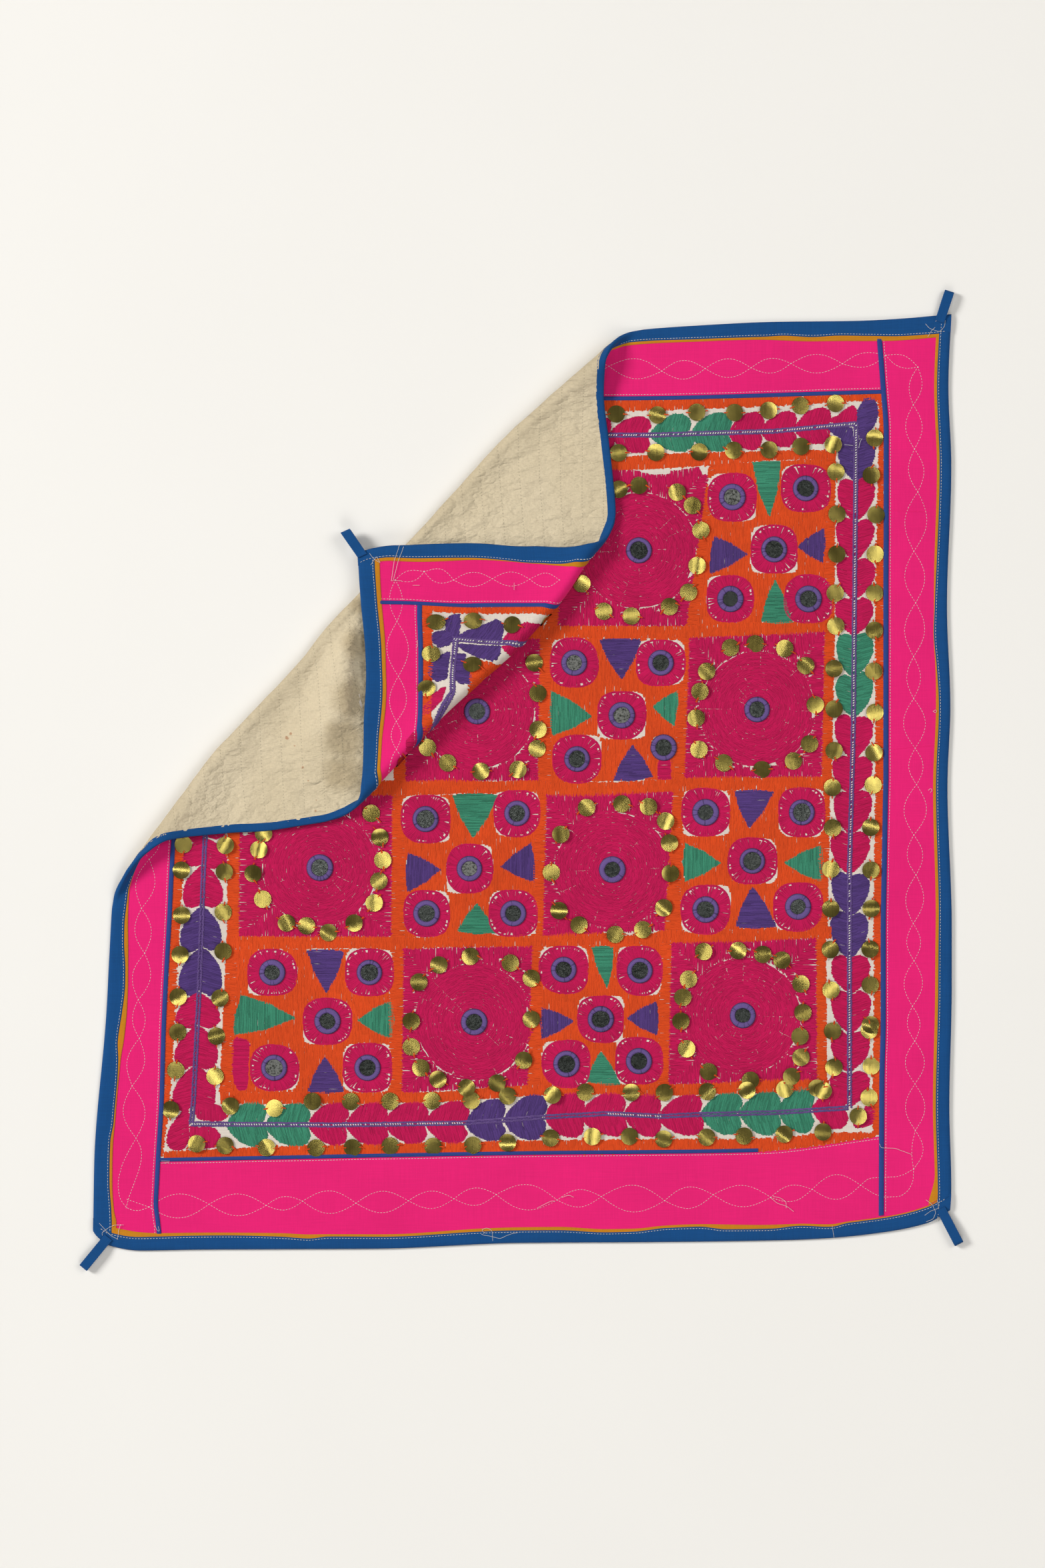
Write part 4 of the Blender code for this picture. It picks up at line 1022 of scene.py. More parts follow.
def vector(tree, x, y, z):
    """A vector from sockets or numbers."""
    return add(tree, "ShaderNodeCombineXYZ", {0: x, 1: y, 2: z}).outputs[0]


def named(tree, name, kind):
    """A named attribute of the points."""
    return add(tree, "GeometryNodeInputNamedAttribute", {"Name": name}, data_type=kind).outputs[0]


def reshaped(tree, mesh, place_of):
    """A form whose vertices are moved: place_of gives the new place from the old x and y."""
    old = add(tree, "ShaderNodeSeparateXYZ", {0: add(tree, "GeometryNodeInputPosition").outputs[0]}).outputs
    return add(tree, "GeometryNodeSetPosition", {"Geometry": mesh, "Position": place_of(*old)}).outputs[0]


def lay_forms(tree, group, points, forms, rotation, scale):
    """Put one of the forms on each point, realize them and give them the tree's material."""
    joined = add(tree, "GeometryNodeGeometryToInstance")
    for form in reversed(forms):
        tree.links.new(form, joined.inputs[0])
    numbers = {4: 0, 5: len(forms) - 1, "Seed": group["Seed"]}
    pick = add(tree, "FunctionNodeRandomValue", numbers, data_type="INT")
    spread = add(tree, "GeometryNodeInstanceOnPoints", {
        "Points": points, "Instance": joined.outputs[0], "Pick Instance": True,
        "Instance Index": pick.outputs[2], "Rotation": rotation, "Scale": scale,
    })
    real = add(tree, "GeometryNodeRealizeInstances", {0: spread.outputs[0]})
    smooth = add(tree, "GeometryNodeSetShadeSmooth", {0: real.outputs[0]})
    paint = add(tree, "GeometryNodeSetMaterial", {0: smooth.outputs[0], "Material": group["Material"]})
    add(tree, "NodeGroupOutput", {0: paint.outputs[0]})
    return tree


@cache
def strand_tree():
    """Tree that lays one strand of floss on each point, from the point's turn, size and shade."""
    tree, group = new_tree("floss_strands", {"Fullness": 1.0, "End Dip": 1.1, "Seed": 2})
    grid = add(tree, "GeometryNodeMeshGrid", {"Size X": 1.0, "Size Y": 1.0, "Vertices X": 3, "Vertices Y": 3})
    mark = add(tree, "GeometryNodeStoreNamedAttribute", data_type="FLOAT2", domain="CORNER")
    mark.inputs["Name"].default_value = "strand"
    tree.links.new(grid.outputs["Mesh"], mark.inputs["Geometry"])
    tree.links.new(grid.outputs["UV Map"], mark.inputs["Value"])

    def strand(bend):
        """A low ridge one unit long, wide and high, with thin low ends, a little bent."""

        def place_of(x, y, z):
            end = maths(tree, "ABSOLUTE", x)
            ridge = maths(tree, "MULTIPLY_ADD", maths(tree, "ABSOLUTE", y), -2.0, 1.0)
            fall = maths(tree, "SUBTRACT", 1.0, maths(tree, "MULTIPLY", end, group["End Dip"]))
            narrow = maths(tree, "MULTIPLY_ADD", end, -0.4, 1.0)
            sway = maths(tree, "MULTIPLY_ADD", end, -2 * bend, bend)
            aside = maths(tree, "MULTIPLY_ADD", y, narrow, sway)
            return vector(tree, x, aside, maths(tree, "MULTIPLY", ridge, fall))

        return reshaped(tree, mark.outputs[0], place_of)

    turn = add(tree, "FunctionNodeEulerToRotation", {0: vector(tree, 0.0, 0.0, named(tree, "turn", "FLOAT"))})
    grow = vector(tree, 1.0, group["Fullness"], group["Fullness"])
    sizes = {0: named(tree, "size", "FLOAT_VECTOR"), 1: grow}
    size = add(tree, "ShaderNodeVectorMath", sizes, operation="MULTIPLY")
    forms = [strand(bend) for bend in (0.0, 0.14, -0.14, 0.24, -0.24)]
    return lay_forms(tree, group, group["Geometry"], forms, turn.outputs[0], size.outputs[0])


@cache
def stitch_tree():
    """Tree that sews a row of machine stitches along a line: short capsules, a fixed pitch apart."""
    tree, group = new_tree(
        "machine_stitches", {"Pitch": 3.0, "Stitch Length": 2.2, "Stitch Width": 0.5, "Seed": 1})
    curve = add(tree, "GeometryNodeMeshToCurve", {0: group["Geometry"]}).outputs[0]
    inputs = {"Curve": curve, "Length": group["Pitch"]}
    points = add(tree, "GeometryNodeCurveToPoints", inputs, mode="LENGTH").outputs
    form = add(tree, "GeometryNodeMeshUVSphere", {"Segments": 5, "Rings": 4, "Radius": 0.5})
    align = add(tree, "FunctionNodeAlignRotationToVector", {"Vector": points["Tangent"]}, axis="Z")
    vary = add(tree, "FunctionNodeRandomValue", {2: 0.8, 3: 1.15, "Seed": group["Seed"]}, data_type="FLOAT")
    length = maths(tree, "MULTIPLY", group["Stitch Length"], vary.outputs[1])
    size = vector(tree, group["Stitch Width"], group["Stitch Width"], length)
    return lay_forms(tree, group, points["Points"], [form.outputs["Mesh"]], align.outputs[0], size)


def sequin_tree():
    """Tree that sets a thin bent disc on each point, from the point's lean."""
    tree, group = new_tree("sequins", {"Diameter": 18.0, "Thickness": 0.35, "Seed": 3})
    radius = maths(tree, "MULTIPLY", group["Diameter"], 0.5)
    disc = add(tree, "GeometryNodeMeshCylinder", {
        "Vertices": 22, "Fill Segments": 3, "Radius": radius, "Depth": group["Thickness"]})

    def bent(curl, crease):
        """The disc with its sides curled up, and creased along its middle."""

        def place_of(x, y, z):
            bowl = maths(tree, "MULTIPLY", maths(tree, "MULTIPLY", x, x), curl)
            fold = maths(tree, "MULTIPLY", maths(tree, "ABSOLUTE", x), crease)
            return vector(tree, x, y, maths(tree, "ADD", z, maths(tree, "ADD", bowl, fold)))

        return reshaped(tree, disc.outputs["Mesh"], place_of)

    forms = [bent(0.006, 0.0), bent(0.012, 0.0), bent(-0.004, 0.0), bent(0.004, 0.05), bent(0.016, 0.0)]
    lean = add(tree, "FunctionNodeEulerToRotation", {0: named(tree, "lean", "FLOAT_VECTOR")})
    return lay_forms(tree, group, group["Geometry"], forms, lean.outputs[0], (1.0, 1.0, 1.0))


def grown(name, source, tree, values):
    """The mesh that a tree makes from a source mesh, as a plain mesh."""
    holder = placed(name + "_source", source)
    modifier = holder.modifiers.new("nodes", "NODES")
    modifier.node_group = tree
    for item in tree.interface.items_tree:
        if item.in_out == "INPUT" and item.name in values:
            modifier[item.identifier] = values[item.name]
    bpy.context.view_layer.update()
    evaluated = holder.evaluated_get(bpy.context.evaluated_depsgraph_get())
    mesh = bpy.data.meshes.new_from_object(evaluated)
    bpy.data.objects.remove(holder, do_unlink=True)
    mesh.name = name
    return mesh


def carried(name, mesh):
    """An object from a mesh on the flat cloth, carried through the fold."""
    count = len(mesh.vertices)
    if count == 0:
        raise RuntimeError(f"{name} came out empty")
    flat = np.zeros(count * 3)
    mesh.vertices.foreach_get("co", flat)
    mesh.vertices.foreach_set("co", carry(flat.reshape(-1, 3)).ravel())
    mesh.update()
    return placed(name, mesh)


def point_mesh(name, places, **attributes):
    """A mesh of loose points with attributes, as the source of a tree."""
    mesh = bpy.data.meshes.new(name)
    mesh.vertices.add(len(places))
    mesh.vertices.foreach_set("co", np.asarray(places, float).ravel())
    for key, values in attributes.items():
        values = np.asarray(values, np.float32)
        kind, field = ("FLOAT_VECTOR", "vector") if values.ndim == 2 else ("FLOAT", "value")
        mesh.attributes.new(key, kind, "POINT").data.foreach_set(field, values.ravel())
    return mesh


def line_mesh(name, paths):
    """A mesh of edges along some paths, as the source of a tree."""
    verts, edges = [], []
    for path in paths:
        first = len(verts)
        verts.extend(tuple(p) for p in path)
        edges.extend((first + k, first + k + 1) for k in range(len(path) - 1))
    mesh = bpy.data.meshes.new(name)
    mesh.from_pydata(verts, edges, [])
    return mesh


# Embroidery

# Strands of floss: the shortest that is laid, how much longer than its stitch each is made, its width for
# each unit of pitch, and the spread of its height
SHORTEST = 0.8
OVERLAP = 1.0
WIDE = 1.8
HEIGHTS = (0.8, 1.2)
# The longest single strand in orange ground and bands, in leaves and in triangles
ORANGE_RUN = 7.0
LEAF_RUN = 11.0
TRIANGLE_RUN = 16.0
# Strands longer than this are cut in three where they pass over a roll, and the parts run on and stand higher
ROLLED_LENGTH = 3
ROLLED_OVERLAP = 0.9
ROLLED_RISE = 0.15


def crossings(loop, y):
    """Spans of a closed outline along the line at height y."""
    after = np.roll(loop, -1, axis=0)
    cross = (loop[:, 1] <= y) != (after[:, 1] <= y)
    a, b = loop[cross], after[cross]
    cuts = np.sort(a[:, 0] + (y - a[:, 1]) / (b[:, 1] - a[:, 1]) * (b[:, 0] - a[:, 0]))
    return list(zip(cuts[::2], cuts[1::2]))


def between(start, end, share):
    """The point at a share of the way from one point to another."""
    return start[0] + (end[0] - start[0]) * share, start[1] + (end[1] - start[1]) * share


def polar(middle, reach, angle):
    """The point at a distance and an angle from a middle."""
    return middle[0] + reach * math.cos(angle), middle[1] + reach * math.sin(angle)


class Floss:
    """Strands of floss of one colour, gathered before they are laid."""

    def __init__(self, seed):
        self.rows = []
        self.rng = np.random.default_rng(seed)

    def strand(self, start, end, width, height, level=FACE_TOP, shade=None):
        """Add a strand from one point of the cloth to another."""
        du, dv = end[0] - start[0], end[1] - start[1]
        length = math.hypot(du, dv)
        if length < SHORTEST:
            return
        own = self.rng.uniform(0.28, 0.72) if shade is None else shade
        self.rows.append((
            (start[0] + end[0]) / 2, (start[1] + end[1]) / 2, level, math.atan2(dv, du),
            length + OVERLAP, width, height, own,
        ))

    def run(self, start, end, longest, width, height):
        """Add a straight run, as one strand or as several end to end."""
        span = math.hypot(end[0] - start[0], end[1] - start[1])
        count = max(1, int(round(span / longest + self.rng.uniform(-0.3, 0.3))))
        cuts = np.arange(count + 1) / count
        if count > 1:
            cuts[1:-1] += self.rng.uniform(-0.3, 0.3, count - 1) / count
        for a, b in zip(cuts, cuts[1:]):
            self.strand(between(start, end, a), between(start, end, b), width, height)

    def fill(self, outline, heading, pitch, longest, holes=(), ragged=0.5, slant=0.0):
        """Fill an area with strands along a heading in degrees, leaving the holes."""
        way = math.radians(heading)
        turn = np.array(((math.cos(way), math.sin(way)), (-math.sin(way), math.cos(way))))
        loops = [np.asarray(loop, float) @ turn.T for loop in (outline, *holes)]
        height = settings()[1].height
        low, high = loops[0][:, 1].min(), loops[0][:, 1].max()
        for k in range(int((high - low) / pitch) + 1):
            y = low + (k + 0.5) * pitch + self.rng.uniform(-0.12, 0.12) * pitch
            spans = crossings(loops[0], y)
            for loop in loops[1:]:
                for a, b in crossings(loop, y):
                    spans = [part for x0, x1 in spans for part in ((x0, min(x1, a)), (max(x0, b), x1))
                             if part[1] > part[0]]
            for x0, x1 in spans:
                x0 += self.rng.normal(0, ragged)
                x1 += self.rng.normal(0, ragged)
                if x1 - x0 < 1.2:
                    continue
                shift = slant * (self.rng.random() < 0.5) - slant / 2
                start = np.array((x0, y - shift)) @ turn
                end = np.array((x1, y + shift)) @ turn
                self.run(start, end, longest, pitch * WIDE, height * self.rng.uniform(*HEIGHTS))

    def lay(self, name, material, slot="embroidery"):
        """Turn the strands that can be seen into a piece of the tapestry."""
        rows = np.array(self.rows)
        rows = rows[~hidden(rows[:, 0], rows[:, 1])]
        across, along = crease_frame(rows[:, :2])
        distance = fold_places(along)[0]
        rolled = (across > distance[:, 3] - 4) & (across < distance[:, 6] + 8)
        rolled |= (across > distance[:, 0] - 5) & (across < distance[:, 0] + 12)
        rolled &= rows[:, 4] > ROLLED_LENGTH
        parts = [rows[~rolled]]
        for share in (-1 / 3, 0, 1 / 3):
            part = rows[rolled]
            part[:, 0] += share * part[:, 4] * np.cos(part[:, 3])
            part[:, 1] += share * part[:, 4] * np.sin(part[:, 3])
            part[:, 4] = part[:, 4] / 3 + ROLLED_OVERLAP
            part[:, 2] += ROLLED_RISE
            parts.append(part)
        rows = np.concatenate(parts)
        looks = {"turn": rows[:, 3], "size": rows[:, 4:7], "shade": rows[:, 7]}
        source = point_mesh(name + "_points", rows[:, :3], **looks)
        enrol(carried(name, grown(name, source, strand_tree(), {"Material": material})), slot)


def on_rows(rows):
    """A table of places and values as a function, straight between its rows."""
    ordered = sorted(rows)
    places, values = [r[0] for r in ordered], [r[1] for r in ordered]
    return lambda at: np.interp(at, places, values)


def quad(row, left_top, right_top, left_low, right_low):
    """Outline of a part of one row of the grid, against the clock from its bottom left corner."""
    top = on_rows(BAND_BOTTOMS[row])
    low = on_rows(BAND_TOPS[row + 1])
    return [(left_low, float(low(left_low))), (right_low, float(low(right_low))),
            (right_top, float(top(right_top))), (left_top, float(top(left_top)))]


def square_outline(row, column):
    """Outline of one square of the grid."""
    return quad(row, *SQUARE_SIDES[row][column])


def rounded(middle, half_u, half_v, powers, count, wobble, phase):
    """A rounded square about a point, with a power for each quarter."""
    points = []
    for k in range(count):
        angle = 2 * math.pi * k / count
        c, s = math.cos(angle), math.sin(angle)
        power = powers[4 * k // count]
        reach = (abs(c) ** power + abs(s) ** power) ** (-1 / power)
        reach *= 1 + wobble * math.sin(3 * angle + phase)
        points.append((middle[0] + half_u * reach * c, middle[1] + half_v * reach * s))
    return points


def disc_shape(seed, spare=0.0, corners=False):
    """Half sizes, powers and wobble of the magenta disc round a mirror, or of the bare square round it."""
    rng = np.random.default_rng(seed)
    half_u, half_v = rng.uniform(24.0, 26.0, 2) + spare
    powers = rng.uniform(2.3, 3.1, 4)
    wobble, phase = rng.uniform(0, 0.02), rng.uniform(0, 6)
    if corners:
        powers = np.where(rng.random(4) < 0.45, rng.uniform(4.5, 8.0, 4), powers)
    return half_u, half_v, powers, wobble, phase


# Strands round a magenta disc
DISC_RAYS = 156


def lay_disc(floss, place, seed):
    """Radial strands of a magenta disc, with slots towards its edge, and the rope round it."""
    half_u, half_v, powers, wobble, phase = disc_shape(seed)
    thread = settings()[1]
    ring = settings()[2].ring_outside - 1.0
    outline = rounded(place, half_u, half_v, powers, DISC_RAYS, wobble, phase)
    rng = floss.rng
    slot, left = 0.0, 0
    for u, v in outline:
        angle = math.atan2(v - place[1], u - place[0])
        reach = math.hypot(u - place[0], v - place[1])
        chance = 0.12 if reach > 0.52 * (half_u + half_v) else 0.05
        if left:
            left -= 1
        elif slot:
            slot = 0.0
        elif rng.random() < chance:
            slot, left = rng.uniform(1.8, 3.6), int(rng.integers(1, 3))
        lean = rng.normal(0, 0.02)
        stop = polar(place, reach - 0.8 - slot, angle + lean)
        floss.strand(polar(place, ring, angle), stop, 1.9, thread.height * rng.uniform(*HEIGHTS))
    for row in (1.0, 0.965):
        edge = [between(place, point, row) for point in outline]
        for k in range(0, DISC_RAYS, 3):
            floss.strand(edge[k], edge[(k + 4) % DISC_RAYS], 1.4, thread.height * 1.2)


def disc_holes(index, spare=0.3):
    """The bare places that the discs of one five mirror square leave in the floss round them."""
    holes = []
    for number, place in enumerate(FIVE_MIRROR_SQUARES[index]):
        half_u, half_v, powers, wobble, phase = disc_shape(100 + index * 5 + number, spare, True)
        if place == BARE_RING:
            half_u = half_v = 12.5
            powers = (2.0, 5.0, 2.0, 2.0)
        holes.append(rounded(place, half_u, half_v, powers, 48, wobble, phase))
    return holes


def triangles(index):
    """The four triangles of a five mirror square: colour, heading, and outline with slightly round sides."""
    above, beside = ("green", "purple") if GREEN_ABOVE[index] else ("purple", "green")
    result = []
    for number, (start, end, apex) in enumerate(TRIANGLES[4 * index:4 * index + 4]):
        outline = []
        for a, b in ((start, end), (end, apex), (apex, start)):
            a, b = np.array(a, float), np.array(b, float)
            out = np.array((b[1] - a[1], a[0] - b[0]))
            inner = np.array((start, end, apex), float).mean(axis=0)
            if out @ (a - inner) < 0:
                out = -out
            outline += [tuple(a), tuple((a + b) / 2 + 0.05 * out)]
        result.append((above if number < 2 else beside, 0 if number < 2 else 90, outline))
    return result


FLOWER_SEQUINS = tables("""-21 64, 0 68, 40 61, 56 47, 65 21, 61 -16, 52 -44, 32 -59, -8 -69, -37 -64,
    -60 -35; 60 51, 64 19, 64 -19, 63 -39, 43 -61, 4 -63, -31 -54, -52 -38, -64 -10; -28 65, -2 69, 29 64,
    51 46, 61 5, 55 -36, 38 -54, 5 -63, -35 -56, -61 -42, -64 -9, -60 19, -53 40; -59 36, -64 19, -70 -6,
    -60 -33, -35 -58, -14 -61, 9 -68, 36 -58, 57 -37, 62 -14, 66 8, 63 32, 54 57; -27 65, 10 69, 38 66,
    56 51, 60 28, 61 -4, 54 -40, 32 -63, 3 -68, -35 -58, -56 -43, -64 -3, -54 37; -37 60, -4 69, 38 62,
    60 46, 60 3, 52 -40, 24 -64, -8 -69, -38 -60, -56 -48, -66 -26, -66 1, -58 42; -41 67, -5 68, 21 64,
    41 58, -57 38, -63 19, -65 -6, -59 -35, -36 -59, 8 -68, 51 -64, 61 -44, 60 -22, 63 3, 61 33""")
# Bare slivers of ground cloth beside the bands of the flower squares
BARE_GROUND = tables("""98 326, 122 324, 136 320, 153 320, 160 324, 186 328, 199 324, 199 334, 98 330;
    186 330, 190 322, 198 318, 200 334; -128 146, -124 128, -119 140, -112 147; -290 -16, -283 -17,
    -285 -24, -283 -55, -292 -60, -297 -40; 205 -168, 240 -169.5, 300 -166, 300 -163, 205 -166; 24 148,
    60 147.5, 120 148.3, 120 150, 24 151""")
FIVE_PLACES = [(0, 3), (1, 2), (2, 1), (2, 3), (3, 0), (3, 2)]
FLOWER_PLACES = [(0, 2), (1, 1), (1, 3), (2, 0), (2, 2), (3, 1), (3, 3)]


def bare_patches(place, offsets, rng):
    """Small bare diamonds beside the sequins of a flower, where the floss stops short."""
    patches = []
    for u, v in offsets:
        reach, angle = math.hypot(u, v), math.atan2(v, u)
        for sign in (1, -1):
            if rng.random() < 0.25:
                continue
            size = rng.uniform(1.2, 3.0)
            middle = angle + sign * (9.6 + size * 0.6) / reach
            radius = reach - rng.uniform(-1.0, 3.0)
            patch = []
            for out, along in ((0, size), (size * 0.7, 0), (0, -size), (-size * 0.7, 0)):
                patch.append(polar(place, radius + out, middle + along / reach))
            patches.append(patch)
    return patches


# Flower squares: the wedges of a flower, its radius, and how open the gaps between wedges may be
WEDGES = 16
FLOWER_RADIUS = 61.0
GAP = 0.1
OPEN_GAP = 0.6


def lay_flower(floss, place, offsets, outline):
    """Wedges of strands round a mirror out to a circle, thin gaps between them, and straight rows beyond."""
    thread = settings()[1]
    rng = floss.rng
    pitch = thread.pitch
    turn = rng.uniform(-0.05, 0.05)
    bounds = [turn + 2 * math.pi * (k + rng.uniform(-0.09, 0.09)) / WEDGES for k in range(WEDGES)]
    openness = rng.choice([0.5, 0.35, 0.15, 0.05], WEDGES)
    patches = bare_patches(place, offsets, rng)
    centres = np.array([np.mean(patch, axis=0) for patch in patches])
    gaps = np.full(WEDGES, GAP)
    radius = settings()[2].ring_outside + 0.3
    while radius < FLOWER_RADIUS + 1.5:
        changes = rng.random(WEDGES) < 0.3
        opened = rng.random(WEDGES) < openness * min(1.0, radius / 30)
        gaps[changes] = np.where(opened, OPEN_GAP, GAP)[changes]
        for k in range(WEDGES):
            if radius > FLOWER_RADIUS + rng.normal(0, 0.8):
                continue
            low, high = bounds[k], bounds[(k + 1) % WEDGES]
            if high < low:
                high += 2 * math.pi
            a = low + (gaps[k] + rng.normal(0, 0.15)) / radius
            b = high - (gaps[(k + 1) % WEDGES] + rng.normal(0, 0.15)) / radius
            pieces = 1 if (b - a) * radius < 8 else 2 if (b - a) * radius < 17 else 3
            cuts = np.linspace(a, b, pieces + 1)
            cuts[1:-1] += rng.uniform(-0.2, 0.2, pieces - 1) * (b - a) / pieces
            for p, q in zip(cuts, cuts[1:]):
                lean = rng.normal(0, 0.25)
                start, end = polar(place, radius + lean, p), polar(place, radius - lean, q)
                middle = np.array(((start[0] + end[0]) / 2, (start[1] + end[1]) / 2))
                if np.hypot(*(centres - middle).T).min() > 2.2:
                    floss.strand(start, end, pitch * 1.7, thread.height * rng.uniform(*HEIGHTS))
        radius += pitch
    for number in range(4):
        a, b = outline[number], outline[(number + 1) % 4]
        first = math.atan2(a[1] - place[1], a[0] - place[0])
        last = math.atan2(b[1] - place[1], b[0] - place[0])
        last += 2 * math.pi if last < first else 0.0
        arc = []
        for t in np.linspace(last, first, 24):
            arc.append(polar(place, FLOWER_RADIUS + (1.4 if rng.random() < 0.3 else 0.3), t))
        floss.fill([a, b] + arc, 90 if number % 2 == 0 else 0, pitch, 9.0, patches + BARE_GROUND, 0.5, 1.0)


def leaf_rows(text):
    """Places and colours of the leaves of one side."""
    words = text.split()
    names = {"m": "magenta", "p": "purple", "g": "green"}
    return [(float(words[k]), float(words[k + 2]), names[words[k + 1]]) for k in range(0, len(words) - 2, 2)]


def stem_point(side, along, off):
    """A point of the cloth beside the stem: along the side, and off it towards the outside of the panel."""
    across = float(on_rows(LEAF_SIDES[side][0])(along))
    if side in ("top", "bottom"):
        return (along, across + off * (1 if side == "top" else -1))
    return (across + off * (-1 if side == "left" else 1), along)


def lay_leaves(flosses):
    """Pairs of leaves along the stem on all four sides."""
    thread = settings()[1]
    for number, (side, (_, text, out_reach, in_reach)) in enumerate(LEAF_SIDES.items()):
        rng = np.random.default_rng(40 + number)
        for start, end, name in leaf_rows(text):
            for reach in (out_reach, -in_reach):
                size = reach * rng.uniform(0.9, 1.04)
                first = start + (end - start) * rng.uniform(0.0, 0.05)
                last = end + (end - start) * rng.uniform(-0.05, 0.03)
                outline = []
                for x, y in LEAF_OUTLINE:
                    along = first + (last - first) * (x + rng.normal(0, 0.012))
                    outline.append(stem_point(side, along, size * (y + rng.normal(0, 0.012))))
                heading = 90.0 if side in ("top", "bottom") else 0.0
                lean = 16.0 if (end - start) * reach > 0 else -16.0
                if side in ("right", "bottom"):
                    lean = -lean
                flosses[name].fill(outline, heading - lean, thread.pitch, LEAF_RUN, ragged=0.35)


def corner_leaves(flosses):
    """The odd leaves at the corners of the border."""
    rows = TIP_LEAVES + [(name, heading, from_photo(outline)) for name, heading, outline in CORNER_LEAVES]
    for name, heading, outline in rows:
        flosses[name].fill(outline, heading, settings()[1].pitch, LEAF_RUN, ragged=0.35)


# Operators


class TAPESTRY_OT_lining(bpy.types.Operator):
    """Make the quilted linen lining"""

    bl_idname = "tapestry.lining"
    bl_label = "Lining"

    def execute(self, context):
        cloth = settings()[0]
        reach = cloth.back_lip - 2.0
        lines = [inset(side, reach) for side in ("left", "right", "bottom", "top")]
        levels = (LINING_LOW + 0.05, LINING_HIGH)
        made = cloth_piece("lining_cloth", lines, levels, finish("lining_linen"), cell=7.5)
        enrol(made, "lining", "lining")
        return {"FINISHED"}


class TAPESTRY_OT_ground(bpy.types.Operator):
    """Make the ground cloth of the embroidered panel"""

    bl_idname = "tapestry.ground"
    bl_label = "Ground cloth"

    def execute(self, context):
        lines = [seam(side, 0.2) for side in ("left", "right", "bottom", "top")]
        made = cloth_piece("panel_ground", lines, (FACE_LOW, FACE_TOP), finish("ground_cotton"))
        enrol(made, "embroidery", "centre_panel")
        return {"FINISHED"}


class TAPESTRY_OT_strips(bpy.types.Operator):
    """Make the four pink strips"""

    bl_idname = "tapestry.strips"
    bl_label = "Pink strips"

    def execute(self, context):
        pink = finish("pink_cotton")
        edge = 2.0
        areas = {
            "top": [inset("left", edge), seam("right", 0.2), seam("top"), inset("top", edge)],
            "bottom": [seam("left", 0.2), seam("right", 0.2), inset("bottom", edge), seam("bottom")],
            "left": [inset("left", edge), seam("left"), inset("bottom", edge), seam("top", 0.2)],
            "right": [seam("right"), inset("right", edge), inset("bottom", edge), inset("top", edge)],
        }
        for side, lines in areas.items():
            made = cloth_piece("strip_" + side, lines, (FACE_LOW, FACE_TOP), pink, cell=7.0)
            enrol(made, "pink_strip", "border_" + side)
        return {"FINISHED"}


def lip_at(side, at, column=1):
    """Width of the binding on the face, or of binding and piping together, at places along one side."""
    rows = LIPS[side]
    return smooth_rows(rows, column, np.clip(at, rows[0][0], rows[-1][0]))


def trim_edge(side, past, column=1):
    """The line of the binding's inner edge along one side, moved inwards."""
    edge = line(EDGES[side])
    return lambda at: edge(at) + INWARD[side] * (lip_at(side, at, column) + past)


def binding_ends(side):
    """The lines that one length of binding runs between."""
    if side in ("top", "bottom"):
        return [inset("left", 0), inset("right", 0)]
    return [trim_edge("bottom", -1.5), trim_edge("top", -1.5)]


class TAPESTRY_OT_bindings(bpy.types.Operator):
    """Make the blue tape that is folded round the four edges"""

    bl_idname = "tapestry.bindings"
    bl_label = "Bindings"

    def execute(self, context):
        back = settings()[0].back_lip
        for side in EDGES:
            profile = [
                (0, 1, 0, 2.7), (-0.15, 1, 0, 3.25), (-0.7, 1, 0, 3.55), (-2.2, 1, 0, 3.3), (0, 0.6, 0, 3.75),
                (5.0, 3.85), (2.4, 3.7), (0.9, 3.1), (0.15, 2.3), (0.0, 1.6), (0.25, 0.8), (1.0, 0.2),
                (2.4, 0.0), (back - 0.6, 0.0), (back, 0.35), (back - 0.3, 0.8), (2.6, 0.95), (1.4, 1.4),
                (1.3, 2.2), (2.6, 2.75), (-0.8, 1, 0, 2.55),
            ]
            made = swept_piece("binding_tape_" + side, side, binding_ends(side), profile, finish("blue_tape"))
            enrol(made, "blue_tape", "binding_" + side)
        return {"FINISHED"}


class TAPESTRY_OT_pipings(bpy.types.Operator):
    """Make the ochre folds beside the binding and the violet folds round the panel"""

    bl_idname = "tapestry.pipings"
    bl_label = "Pipings"

    def execute(self, context):
        for side in EDGES:
            profile = [(-0.6, 1, 0, 2.5), (-0.6, 1, 0, 2.9), (-1.0, 0, 1, 3.15), (-0.3, 0, 1, 2.95),
                       (0, 0, 1, 2.6), (-0.4, 0, 1, 2.4)]
            if side in ("top", "bottom"):
                ends = [trim_edge("left", -0.3), trim_edge("right", -0.3)]
            else:
                ends = [trim_edge("bottom", 2.0), trim_edge("top", 2.0)]
            made = swept_piece("ochre_piping_" + side, side, ends, profile, finish("ochre_tape"))
            enrol(made, "ochre_piping", "outer_piping_" + side)
        past = 3.0
        for side, size in (("right", 4.8), ("top", 3.6), ("left", 4.2), ("bottom", 3.4)):
            top_end = trim_edge("top", past)
            bottom_end = trim_edge("bottom", past)
            ends = {
                "right": [bottom_end, top_end],
                "left": [bottom_end, seam("top", 3.2)],
                "top": [trim_edge("left", past), seam("right", 5.0)],
                "bottom": [seam("left", 3.0), lambda at: BOTTOM_PIPING_END + 0 * at],
            }[side]
            made = piping_on_seam("violet_piping_" + side, side, ends, size)
            enrol(made, "violet_piping", "inner_piping_" + side)
        return {"FINISHED"}


